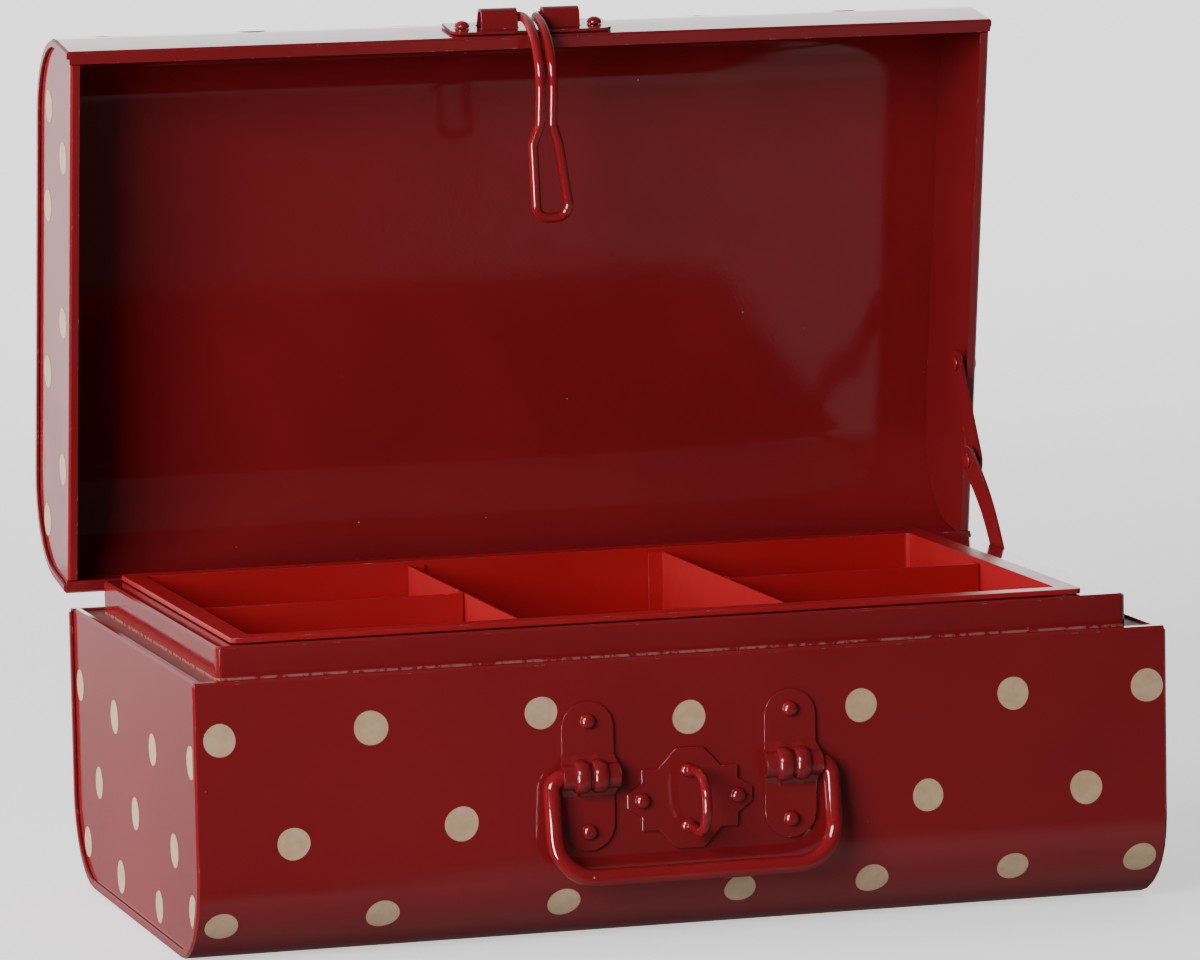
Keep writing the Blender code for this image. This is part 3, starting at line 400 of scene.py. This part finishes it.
def eased(node, material, ease=SHEET_EASE, steps=2, sharper_than=24):
    bm = merged(node)
    if node in FOLDED:
        print(node, "rounded folds:", round_the_folds(bm))
    corners = [e for e in bm.edges if len(e.link_faces) == 2 and e.calc_face_angle(0) > math.radians(sharper_than)]
    bevelled(bm, corners, ease, steps)
    shade_smooth(bm, crisp_from=40)
    piece = new_piece(node + "_skin", bm, material, nodes[node]["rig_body"], [node])
    flat_first = piece.modifiers.new("flat_faces_first", "WEIGHTED_NORMAL")
    flat_first.keep_sharp, flat_first.weight = True, 80


NOT_SHEET = ("rivet", "pin", "cap", "handle_", "_handle", "wire", "loop")
SHEET_PARTS = [n for n in nodes if not any(word in n for word in NOT_SHEET)]
SHEET_PARTS += [n for n in nodes if n.startswith("handle_bracket")]
FOLDED = ("base_wrap", "lid_wrap", "neck_frame", "base_end_left", "base_end_right", "lid_end_left", "lid_end_right")
FITTINGS = ("handle_bracket_left", "handle_bracket_right", "staple_plate")
for name in SHEET_PARTS:
    if name.startswith("tray"):
        eased(name, tray_red, TRAY_EASE)
    elif name in FITTINGS:
        eased(name, case_red, FITTING_EASE, 3)
    else:
        eased(name, neck_red if name == "neck_frame" else case_red)
print("eased", len(SHEET_PARTS), "sheet parts")

# %% [markdown]
# Rivets and hinge pins are turned shapes. The frame's own are ten-sided, so their outline is read ring by
# ring from the solid and spun again with many more steps. Spinning is what a lathe or a header does. A
# rivet's head gets a true dome in place of the few steps of its crown.

# %% Rivets and pins
SPIN_STEPS, DOME_STEPS = 24, 7


def rings_of(node, axis):
    """The axis point and the (radius, height) rings of a turned CAD part."""
    points = {tuple(round(c, 7) for c in v.co) for v in nodes[node].data.vertices}
    points = [Vector(p) for p in points]
    middle = sum(points, Vector()) / len(points)
    rings = {}
    for p in points:
        along = (p - middle).dot(axis)
        rings.setdefault(round(along, 5), set()).add(round(((p - middle) - axis * along).length, 5))
    return middle, rings


def outline_of(rings):
    """Walks from the crown to the tail, taking the nearer radius first where a ring has two."""
    outline, radius = [], 0.0
    for height in sorted(rings, reverse=True):
        for r in sorted(rings[height], key=lambda value: abs(value - radius)):
            if not outline or abs(r - outline[-1][0]) + abs(height - outline[-1][1]) > 4e-5:
                outline.append((r, height))
            radius = r
    return outline


def domed(outline):
    """Puts a quarter round on the head, from its crown down to its widest ring."""
    seat = next(i for i in range(1, len(outline)) if outline[i][0] < outline[i - 1][0])
    head, base, crown = outline[seat - 1][0], outline[seat][1], outline[0][1]
    turns = [math.pi / 2 * step / DOME_STEPS for step in range(DOME_STEPS + 1)]
    return [(head * math.sin(t) ** 0.9, base + (crown - base) * math.cos(t)) for t in turns] + outline[seat:]


def head_axis(node):
    """Which way a rivet's head points, or a pin's right-hand end."""
    if node.startswith("hinge_pin") or node in ("stay_foot_rivet", "stay_elbow_rivet"):
        return Vector((1, 0, 0))
    if node in ("stay_lid_rivet", "stay_elbow_cap"):
        return Vector((-1, 0, 0))
    outward = Vector((0, 1 if "hinge" in node else -1, 0))
    return lid_turn @ outward if nodes[node]["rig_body"] == "lid" else outward


def turned(node, material, dome=True):
    axis = head_axis(node).normalized()
    middle, rings = rings_of(node, axis)
    outline = domed(outline_of(rings)) if dome else outline_of(rings)
    bm = bmesh.new()
    chain = [bm.verts.new((r, 0, h)) for r, h in outline]
    edges = [bm.edges.new(pair) for pair in zip(chain, chain[1:])]
    bmesh.ops.spin(
        bm, geom=chain + edges, axis=(0, 0, 1), cent=(0, 0, 0), angle=2 * math.pi, steps=SPIN_STEPS, use_merge=True)
    bmesh.ops.remove_doubles(bm, verts=bm.verts[:], dist=2e-6)
    bmesh.ops.recalc_face_normals(bm, faces=bm.faces[:])
    turn = axis.to_track_quat("Z", "Y").to_matrix().to_4x4()
    bmesh.ops.transform(bm, matrix=Matrix.Translation(middle) @ turn, verts=bm.verts[:])
    shade_smooth(bm, crisp_from=42)
    new_piece(node + "_turned", bm, material, nodes[node]["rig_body"], [node])


TURNED = [n for n in nodes if "rivet" in n or "pin" in n or "cap" in n]
for name in TURNED:
    if name.startswith("hinge_pin"):
        turned(name, pin_metal, dome=False)
    else:
        turned(name, wire_red)
print("turned", len(TURNED), "rivets and pins")

# %% [markdown]
# Handle, staple loop and hasp are round wire. A bender pushes the wire straight and then swings it round a
# former, and the mesh is made the same way: a circle is extruded along each straight run and spun round
# each bend. Spin needs a centre, an axis and an angle, and all three come from the two runs that meet.

# %% A wire bender


def push(bm, edges, step):
    """Extrudes the wire's open end along a straight run, and gives back the new end."""
    if step.length < 1e-7:
        return edges
    made = bmesh.ops.extrude_edge_only(bm, edges=edges)["geom"]
    bmesh.ops.translate(bm, vec=step, verts=[g for g in made if isinstance(g, bmesh.types.BMVert)])
    return [g for g in made if isinstance(g, bmesh.types.BMEdge) and all(v in made for v in g.verts)
            and len(g.link_faces) == 1]


def cap_end(bm, edges, wire_radius):
    face = bmesh.ops.contextual_create(bm, geom=edges)["faces"]
    bmesh.ops.inset_region(bm, faces=face, thickness=wire_radius * 0.18, depth=0, use_even_offset=True)


def bend_wire(corners, radii, wire_radius, sides=20):
    """A round wire with closed ends along straight runs, each inner corner bent to its radius."""
    corners = [Vector(c) for c in corners]
    bm = bmesh.new()
    ahead = (corners[1] - corners[0]).normalized()
    turn = ahead.to_track_quat("Z", "Y").to_matrix().to_4x4()
    ring = bmesh.ops.create_circle(
        bm, cap_ends=False, segments=sides, radius=wire_radius, matrix=Matrix.Translation(corners[0]) @ turn)
    edges = list({e for v in ring["verts"] for e in v.link_edges})
    first, place = edges, corners[0]
    for before, corner, after, radius in zip(corners, corners[1:], corners[2:], radii):
        back, onward = (before - corner).normalized(), (after - corner).normalized()
        half = back.angle(onward) / 2
        tangent = radius / math.tan(half)
        edges = push(bm, edges, corner + back * tangent - place)
        centre = corner + (back + onward).normalized() * radius / math.sin(half)
        angle = math.pi - 2 * half
        steps = max(3, round(angle / math.radians(9)))
        spun = bmesh.ops.spin(
            bm, geom=edges, cent=centre, axis=(-back).cross(onward).normalized(), angle=angle, steps=steps)
        edges = [g for g in spun["geom_last"] if isinstance(g, bmesh.types.BMEdge)]
        place = corner + onward * tangent
    last = push(bm, edges, corners[-1] - place)
    for end in (first, last):
        cap_end(bm, end, wire_radius)
    bmesh.ops.recalc_face_normals(bm, faces=bm.faces[:])
    shade_smooth(bm)
    return bm


def place_wire(name, bm, matrix, body, replaced):
    bmesh.ops.transform(bm, matrix=matrix, verts=bm.verts[:])
    piece = new_piece(name, bm, wire_red, body, [replaced])
    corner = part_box(replaced)[0]
    drift = max(abs(min(v.co[i] for v in piece.data.vertices) - corner[i]) for i in range(3))
    print(name, "differs from its CAD box by", round(drift * 1000, 2), "mm")


print("wire bender ready")

# %% [markdown]
# The bail handle is one thick wire whose ends turn in under the brackets; it hangs 11 degrees out. The
# staple is a thinner loop that stands upright on its plate, with a swollen collar of enamel round each
# foot. Each is drawn as one half in its pivot's own axes and mirrored, so both sides are surely alike.

# %% Handle and staple
BRACKET_OFFSET, BRACKET_WIDTH, HANDLE_REACH = 0.0312, 0.0159, 0.0012
HANDLE_WIRE, HANDLE_LEG, HANDLE_DROP = 0.00265, 0.0431, 0.0299
HANDLE_SHOULDER, HANDLE_CORNER, HANDLE_HANG = 0.0038, 0.0123, math.radians(-11)
HANDLE_PIVOT = Vector((FITTING_SHIFT, -0.08945, 0.051017))
handle_end = BRACKET_OFFSET - BRACKET_WIDTH / 2 + HANDLE_REACH
half = [(handle_end, 0, 0), (HANDLE_LEG, 0, 0), (HANDLE_LEG, 0, -HANDLE_DROP)]
route = half + [(-x, y, z) for x, y, z in reversed(half)]
handle_wire = bend_wire(route, (HANDLE_SHOULDER, HANDLE_CORNER, HANDLE_CORNER, HANDLE_SHOULDER), HANDLE_WIRE)
handle_place = Matrix.Translation(HANDLE_PIVOT) @ Matrix.Rotation(HANDLE_HANG, 4, "X")
place_wire("bail_handle_wire", handle_wire, handle_place, "handle", "bail_handle")

STAPLE_WIRE, STAPLE_TAIL, STAPLE_KNEE, STAPLE_REACH = 0.0015, 0.0030, 0.003, 0.020
STAPLE_FOOT, STAPLE_HALF = 0.0085, 0.00925
STAPLE_FOOT_BEND, STAPLE_TOP_BEND = 0.003, 0.0084
COLLAR_SIZE, COLLAR_SIDE, COLLAR_OUT, COLLAR_UP = (0.0024, 0.0011, 0.0021, 1), -0.0004, -0.0017, 0.0083
STAPLE_CENTRE = Vector((FITTING_SHIFT, -HALF_DEPTH, 0.042417))
half = [(0, STAPLE_TAIL, STAPLE_FOOT), (0, -STAPLE_KNEE, STAPLE_FOOT), (0, STAPLE_WIRE - STAPLE_REACH, STAPLE_HALF)]
route = half + [(x, y, -z) for x, y, z in reversed(half)]
bends = (STAPLE_FOOT_BEND, STAPLE_TOP_BEND, STAPLE_TOP_BEND, STAPLE_FOOT_BEND)
staple_wire = bend_wire(route, bends, STAPLE_WIRE, 18)
for foot in (-1, 1):
    collar = Matrix.Translation((COLLAR_SIDE, COLLAR_OUT, foot * COLLAR_UP)) @ Matrix.Diagonal(COLLAR_SIZE)
    bmesh.ops.create_uvsphere(staple_wire, u_segments=24, v_segments=14, radius=1, matrix=collar)
shade_smooth(staple_wire)
place_wire("staple_loop_wire", staple_wire, Matrix.Translation(STAPLE_CENTRE), "case_body", "staple_loop")

# %% [markdown]
# The hasp is one wire too. Both ends turn out into the plate's knuckles, two legs curl down side by side,
# and the loop at the bottom spreads to drop over the staple. That loop was squeezed a little askew on the
# real case. So one function draws either side, and a lean that both sides share skews the loop.

# %% Hasp
HASP_WIRE, HASP_LEG, HASP_BEND, HASP_CORNER = 0.0016, 0.0020, 0.0020, 0.0040
HASP_HALF_GAP, HASP_KNUCKLE = 0.0042, 0.0117
HASP_ARC, HASP_LEG_LENGTH, HASP_SPLAY_LENGTH, HASP_LOOP_LENGTH = 0.0209, 0.0087, 0.0061, 0.0239
HALF_SHOULDER, HALF_TIP = 0.0041, 0.0055
SHOULDER_LEAN, TIP_LEAN = 0.0000, 0.0032
HASP_REACH, HASP_HEIGHT = 0.0042, 0.0098
HASP_PIVOT = Vector((FITTING_SHIFT, -HALF_DEPTH - HASP_REACH, PARTING + HASP_HEIGHT))
hasp_end = HASP_HALF_GAP + HASP_KNUCKLE - HASP_WIRE
low, neck = -HASP_BEND - HASP_ARC, HASP_ARC + HASP_LEG_LENGTH
shoulder = neck + HASP_SPLAY_LENGTH
tip = shoulder + HASP_LOOP_LENGTH


def hasp_side(side):
    """One leg and half the loop, from the end in the knuckle to the tip."""
    return [(side * hasp_end, 0, 0), (side * HASP_LEG, 0, 0), (side * HASP_LEG, 0, low), (side * HASP_LEG, neck, low),
            (side * HALF_SHOULDER + SHOULDER_LEAN, shoulder, low), (side * HALF_TIP + TIP_LEAN, tip, low)]


radii = [HASP_BEND, HASP_ARC, HASP_BEND, HASP_BEND, HASP_CORNER]
hasp_wire = bend_wire(hasp_side(1) + hasp_side(-1)[::-1], radii + radii[::-1], HASP_WIRE, 18)
place_wire("hasp_wire_bent", hasp_wire, opening @ Matrix.Translation(HASP_PIVOT), "hasp", "hasp_wire")

# %% [markdown]
# Each handle bracket has two fat ribs pressed into its tunnel, side by side. A rib is the outside of half a
# ring, which is the wire bender's work again: a thin wire bent into a U and then stretched sideways.

# %% Ribs on the brackets
RIB_RING, RIB_WIRE, RIB_STRETCH, RIB_APART = 0.0040, 0.0011, 2.05, 0.0027
RIB_TAIL, RIB_BEND = 0.0022, 0.0038
for side, label in ((-1, "left"), (1, "right")):
    ribs = bmesh.new()
    for step in (-1, 1):
        route = [(0, RIB_TAIL, RIB_RING), (0, -RIB_RING, RIB_RING)]
        route += [(x, y, -z) for x, y, z in reversed(route)]
        rib = bend_wire(route, (RIB_BEND, RIB_BEND), RIB_WIRE, 24)
        bmesh.ops.scale(rib, vec=(RIB_STRETCH, 1, 1), verts=rib.verts[:])
        centre_x = FITTING_SHIFT + side * BRACKET_OFFSET + step * RIB_APART
        bmesh.ops.translate(rib, vec=(centre_x, HANDLE_PIVOT.y, HANDLE_PIVOT.z), verts=rib.verts[:])
        add_into(ribs, rib)
    shade_smooth(ribs)
    new_piece("bracket_ribs_" + label, ribs, case_red, "case_body")
print("ribs bent for both brackets")

# %% [markdown]
# The cream dots are printed by hand, so no two are quite round. Each is a disc from a circle, cut across in
# narrow strips and laid on the sheet with a hair's gap, so that a low dot bends round the case's corner. A
# texture could print them too, but a thin disc keeps a crisp rim and its own dull finish.

# %% Discs for the dots
DOT, LIFT, HALF_STRIPS = 0.0050, 0.00006, 4


def wobbled_disc(bm, seed):
    """A flat disc in the XY plane whose rim wanders by a few hundredths."""
    grow = 1 + 0.03 * math.sin(seed * 2.7)
    for v in bmesh.ops.create_circle(bm, cap_ends=True, segments=36, radius=DOT * grow)["verts"]:
        turn = math.atan2(v.co.y, v.co.x)
        v.co *= 1 + 0.018 * math.sin(2 * turn + seed) + 0.012 * math.sin(3 * turn + 1.7 * seed)


def laid_disc(seed, across, along, lay):
    """One disc, cut in strips and bent onto its face; lay turns (across, along) to (point, normal)."""
    disc = bmesh.new()
    wobbled_disc(disc, seed)
    bmesh.ops.inset_region(disc, faces=disc.faces[:], thickness=DOT * 0.25, depth=0)
    for strip in range(-HALF_STRIPS, HALF_STRIPS + 1):
        geom, cut = disc.verts[:] + disc.edges[:] + disc.faces[:], DOT * strip / HALF_STRIPS
        bmesh.ops.bisect_plane(disc, geom=geom, plane_co=(0, cut, 0), plane_no=(0, 1, 0))
    for v in disc.verts:
        point, normal = lay(across + v.co.x, along + v.co.y)
        v.co = point + normal * LIFT
    return disc


def printed(name, dots, lay, body):
    """Prints a dot at each (across, along) of one face of the case, and gives back how many."""
    bm = bmesh.new()
    for number, (across, along) in enumerate(dots):
        add_into(bm, laid_disc(number * 1.31 + len(dots), across, along, lay))
    outward = lay(*dots[0])[1]
    bm.normal_update()
    bm.faces.ensure_lookup_table()
    if bm.faces[0].normal.dot(outward) < 0:
        bmesh.ops.reverse_faces(bm, faces=bm.faces[:])
    shade_smooth(bm)
    new_piece(name, bm, cream_dots, body)
    return len(dots)


print("discs of", DOT * 2000, "mm ready to lay")

# %% [markdown]
# A dot is placed as on the flat sheet before it was bent: across, and down from the mouth. One function
# bends that run round the wall, the corner and the floor; the ends are flat. The lid's faces are laid as
# on a shut lid and swung open.

# %% Where each face of the case lies


def round_the_case(run, height, bend):
    """Wraps a run, measured down a side wall from the mouth, round the corner and under the floor."""
    straight = height - bend
    quarter = bend * math.pi / 2
    if run <= straight:
        return Vector((-HALF_DEPTH, height - run)), Vector((-1, 0))
    if run <= straight + quarter:
        turn = (run - straight) / bend
        normal = Vector((-math.cos(turn), -math.sin(turn)))
        return Vector((-HALF_DEPTH + bend, bend)) + normal * bend, normal
    return Vector((-HALF_DEPTH + bend + run - straight - quarter, 0)), Vector((0, -1))


def base_lay(side):
    """side is -1 for the front and 1 for the back."""
    def lay(x, run):
        place, normal = round_the_case(run, BASE_HEIGHT, BASE_BEND)
        return Vector((x, -side * place.x, place.y)), Vector((0, -side * normal.x, normal.y))
    return lay


def lid_lay(side):
    """The lid is a base turned upside down, so its front is laid with side 1."""
    def lay(x, run):
        place, normal = round_the_case(run, LID_HEIGHT, LID_BEND)
        shut = Vector((x, -side * place.x, PARTING + LID_HEIGHT - place.y))
        return opening @ shut, lid_turn @ Vector((0, -side * normal.x, -normal.y))
    return lay


def end_lay(side):
    """side is -1 for the left end and 1 for the right."""
    def lay(y, z):
        return Vector((side * END_PANEL, y, z)), Vector((side, 0, 0))
    return lay


def lid_end_lay(side):
    def lay(from_back, above):
        return opening @ Vector((side * END_PANEL, HALF_DEPTH - from_back, PARTING + above)), Vector((side, 0, 0))
    return lay


print("faces of the case ready")

# %% [markdown]
# The dots stand in a loose quincunx: rows about 27 mm apart, each shifted by half a step. The photograph
# gives the centres on the front and on the left ends, read off in millimetres; the hidden sides carry on
# the same spacing with the same small errors of a hand print.

# %% Printed dots


def mm(pairs, x0=150.0):
    return [((x - x0) / 1000, z / 1000) for x, z in pairs]


def rows(first, spacing, count, xs):
    """Plain rows, every second one shifted by half a step."""
    return mm([(x + 24 * (row % 2), first + spacing * row) for row in range(count) for x in xs])


top_row = mm([(7.6, 17.0), (52.9, 16.0), (104.4, 14.7), (149.7, 18.7), (203.1, 18.4), (251.0, 17.7), (293.6, 17.8)])
middle_row = mm([(29.0, 48.7), (79.7, 46.1), (223.8, 46.8), (273.9, 47.6)])
low_row = mm([(7.8, 73.4), (56.2, 72.7), (111.4, 73.1), (165.8, 72.4), (207.0, 72.2), (251.4, 71.3), (292.0, 71.3)])
count = printed("front_dots", top_row + middle_row + low_row, base_lay(-1), "case_body")
back_rows = mm([(20, 17.5), (68, 16.4), (118, 18.1), (166, 16.9), (214, 17.8), (262, 16.2), (44, 47.2), (140, 48.3),
                (190, 46.5), (238, 47.7), (286, 46.9), (19, 73.0), (68, 72.1), (117, 73.3), (165, 72.6), (215, 72.0),
                (263, 73.1)])
count += printed("back_dots", back_rows, base_lay(1), "case_body")
under_rows = rows(103, 27, 4, (32, 81, 129, 178, 226))
count += printed("floor_dots", under_rows, base_lay(-1), "case_body")
left_end = [(162.6, 61.9), (113.4, 59.0), (60.7, 56.7), (9.7, 60.5), (138.1, 34.8), (86.9, 33.3), (34.2, 30.6),
            (157.0, 13.3), (109.5, 10.2), (56.7, 10.0), (11.2, 15.8)]
right_end = [(161.8, 60.4), (112.1, 57.8), (62.3, 58.9), (10.4, 59.2), (137.0, 34.0), (87.8, 35.1), (36.0, 32.4),
             (110.8, 10.6), (61.0, 9.8), (155.9, 14.6)]
count += printed("left_end_dots", mm(left_end, 86.5), end_lay(-1), "case_body")
count += printed("right_end_dots", mm(right_end, 86.5), end_lay(1), "case_body")
lid_left = [(149.1, 31.8), (137.3, 10.6), (117.2, 32.8), (84.9, 9.6), (63.8, 31.8), (38.1, 8.6), (15.6, 31.0)]
lid_right = [(150.3, 30.9), (134.0, 9.9), (114.8, 31.7), (87.0, 10.3), (62.2, 32.6), (40.0, 9.4), (17.5, 30.2)]
count += printed("lid_left_dots", mm(lid_left, 0), lid_end_lay(-1), "lid")
count += printed("lid_right_dots", mm(lid_right, 0), lid_end_lay(1), "lid")
lid_front = mm([(27.2, 29.0), (83.7, 27.4), (181.1, 29.0), (229.2, 24.4), (276.0, 26.0)])
lid_top = rows(55, 26.5, 5, (14, 62, 111, 159, 208, 256))
count += printed("lid_front_dots", lid_front + lid_top, lid_lay(1), "lid")
lid_back = mm([(16, 28.5), (64, 27.0), (112, 29.3), (160, 27.8), (209, 28.8), (258, 27.4)])
count += printed("lid_back_dots", lid_back, lid_lay(-1), "lid")
print("dots in all:", count)

# %% [markdown]
# The floor and the wall are plain pale paper. The camera sees one sheet that glows a little more towards
# the back, so that it runs into the wall unseen. What the case mirrors is another matter: only the far part
# of the floor bounces light, as if the room fell dark in front of the table, because the case's front is
# almost free of glare in the photograph while its ends mirror a bright backdrop.

# %% Floor and wall
FLOOR_SIDE, WALL_BACK, FLOOR_SEAM, LEFT_SEAM = 5, 4, -0.03, -0.14
WHITE = (1, 1, 1, 1)


def stage_sheet(name, middle, half_sizes, turn, paint):
    bm = bmesh.new()
    bmesh.ops.create_grid(bm, x_segments=1, y_segments=1, size=1)
    bmesh.ops.scale(bm, vec=(*half_sizes, 1), verts=bm.verts[:])
    bmesh.ops.transform(bm, matrix=Matrix.Translation(middle) @ Matrix.Rotation(turn, 4, "X"), verts=bm.verts[:])
    mesh = bpy.data.meshes.new(name)
    bm.to_mesh(mesh)
    bm.free()
    sheet = bpy.data.objects.new(name, mesh)
    bpy.context.scene.collection.objects.link(sheet)
    mesh.materials.append(paint.material)
    return sheet


def paper(name, grey, glow, strength):
    """White paper with a glow of its own."""
    paint = Paint(name)
    paint.set(Base_Color=(grey, grey, grey, 1), Roughness=0.9, Emission_Color=glow, Emission_Strength=strength)
    return paint


wall_paint, bounce_paint = paper("wall_paint", 0.8, WHITE, 1.6), paper("bounce_paint", 0.86, WHITE, 0.22)
floor_paint = paper("floor_paint", 0.86, WHITE, 1.0)
depth = floor_paint.node("ShaderNodeSeparateXYZ", values={"Vector": place_of(floor_paint)}, output="Y")
glow = blend_colour(floor_paint, depth.ramp(0.1, 2.2), (0.80, 0.80, 0.80, 1), (1.60, 1.60, 1.60, 1))
floor_paint.set(Emission_Color=glow)
seen_floor = stage_sheet("floor", (0, -0.5, -0.0004), (FLOOR_SIDE, 4.5), 0, floor_paint)
back_wall = stage_sheet("back_wall", (0, WALL_BACK, 2), (FLOOR_SIDE, 3), math.pi / 2, wall_paint)
for sheet in (seen_floor, back_wall):
    sheet.visible_glossy = sheet.visible_diffuse = sheet.visible_shadow = False
middle_y, half_y = (WALL_BACK + FLOOR_SEAM) / 2, (WALL_BACK - FLOOR_SEAM) / 2
right_middle, right_half = (FLOOR_SIDE + LEFT_SEAM) / 2, (FLOOR_SIDE - LEFT_SEAM) / 2
left_middle, left_half = (-FLOOR_SIDE + LEFT_SEAM) / 2, (FLOOR_SIDE + LEFT_SEAM) / 2
behind = stage_sheet("bounce_behind", (right_middle, middle_y, -0.0006), (right_half, half_y), 0, bounce_paint)
left = stage_sheet("bounce_left", (left_middle, middle_y, -0.0006), (left_half, half_y), 0, bounce_paint)
left.visible_glossy = behind.visible_camera = left.visible_camera = False
print("floor and wall in place")

# %% [markdown]
# Light comes from large soft panels. A panel can light the paint, be mirrored in it, or both, and the two
# are set apart here: the wide key gives the colour, while the mirrored panels only draw the highlights.
# The wires and rivets show crisp white streaks, so two bright panels are linked to the small fittings
# alone and never glare on the large sheets, which have one calmer panel of their own.

# %% Panels


def softbox(name, place, aim, size, power, shown_in_gloss=True, lights_paint=True):
    light = bpy.data.lights.new(name, "AREA")
    light.shape, light.size, light.size_y, light.energy = "RECTANGLE", size[0], size[1], power
    lamp = bpy.data.objects.new(name, light)
    lamp.location = place
    lamp.rotation_euler = (Vector(aim) - Vector(place)).to_track_quat("-Z", "Y").to_euler()
    lamp.visible_camera, lamp.visible_glossy, lamp.visible_diffuse = False, shown_in_gloss, lights_paint
    bpy.context.scene.collection.objects.link(lamp)
    return lamp


def shines_only_on(lamp, pieces):
    """Light linking: no other piece shows this panel."""
    group = bpy.data.collections.new(lamp.name + "_group")
    for piece in pieces:
        group.objects.link(piece)
    lamp.light_linking.receiver_collection = group


SMALL_WORDS = ("_turned", "_wire", "bracket", "staple", "neck_frame", "hasp_plate")
KEY_AIM, LOW_AIM = (0, 0, 0.12), (0, 0, 0.10)
KEY = (-1.18, -1.16, 0.66), KEY_AIM, (1.0, 0.9)
meshes = [o for o in bpy.data.objects if o.type == "MESH"]
small = [o for o in meshes if any(word in o.name for word in SMALL_WORDS)]
large = [o for o in meshes if o not in small]
softbox("key_panel", *KEY, 35, shown_in_gloss=False)
shines_only_on(softbox("key_glow", *KEY, 30, lights_paint=False), large)
shines_only_on(softbox("key_shine", (-1.16, -1.14, 0.84), KEY_AIM, (0.8, 0.5), 45, lights_paint=False), small)
softbox("side_panel", (-1.75, 0.10, 0.55), LOW_AIM, (0.8, 0.8), 34, shown_in_gloss=False)
softbox("backdrop_glow", (0.5, 1.55, 0.62), (0.5, 0, 0.62), (1.2, 0.84), 7, lights_paint=False)
softbox("left_card", (-0.37, 0.80, 0.11), (-0.37, 0, 0.11), (0.18, 0.22), 0.08, lights_paint=False)
edge_strip = softbox("edge_strip", (-0.92, -0.72, -0.10), (0, 0, -0.10), (0.30, 0.56), 32, lights_paint=False)
shines_only_on(edge_strip, small)
softbox("low_fill", (-0.95, -1.00, -0.50), LOW_AIM, (0.8, 0.5), 2.2, shown_in_gloss=False)
print("eight panels;", len(small), "small pieces have panels of their own")

# %% [markdown]
# The room itself is what glossy enamel mirrors where no panel stands. It is drawn by direction only: bright
# behind the case, dim before it, and dark again low down behind it at the right. A picture of a room could
# do this too, but a few ramps can be moved one at a time against the photograph.

# %% Room


def studio_room():
    world = bpy.data.worlds.new("studio")
    world.use_nodes = True
    room = Paint.over(world, "Background")
    across = room.node("ShaderNodeSeparateXYZ", values={"Vector": room.node("ShaderNodeTexCoord")})
    back, height = across.beside("Y"), across.beside("Z")
    behind, steep = back.ramp(-0.1, 0.7), height * -1
    left_falls_dark = 1 - (1 - across.ramp(0.225, 0.285)) * (1 - steep.ramp(0.45, 0.7))
    before = steep.ramp(0.08, 0.50) * 0.31 * left_falls_dark * (1 - steep.ramp(0.5, 0.85) * 0.3) + 0.075
    under_the_case = across.ramp(-0.05, 0.15) * (1 - height.ramp(-0.20, -0.11)) * 0.8
    low_behind = (height.ramp(-0.18, -0.09) * 0.43 + 0.36) * (1 - under_the_case)
    room.set(Color=WHITE, Strength=behind * low_behind + (1 - behind) * before)
    bpy.context.scene.world = world


studio_room()
print("room set by direction")
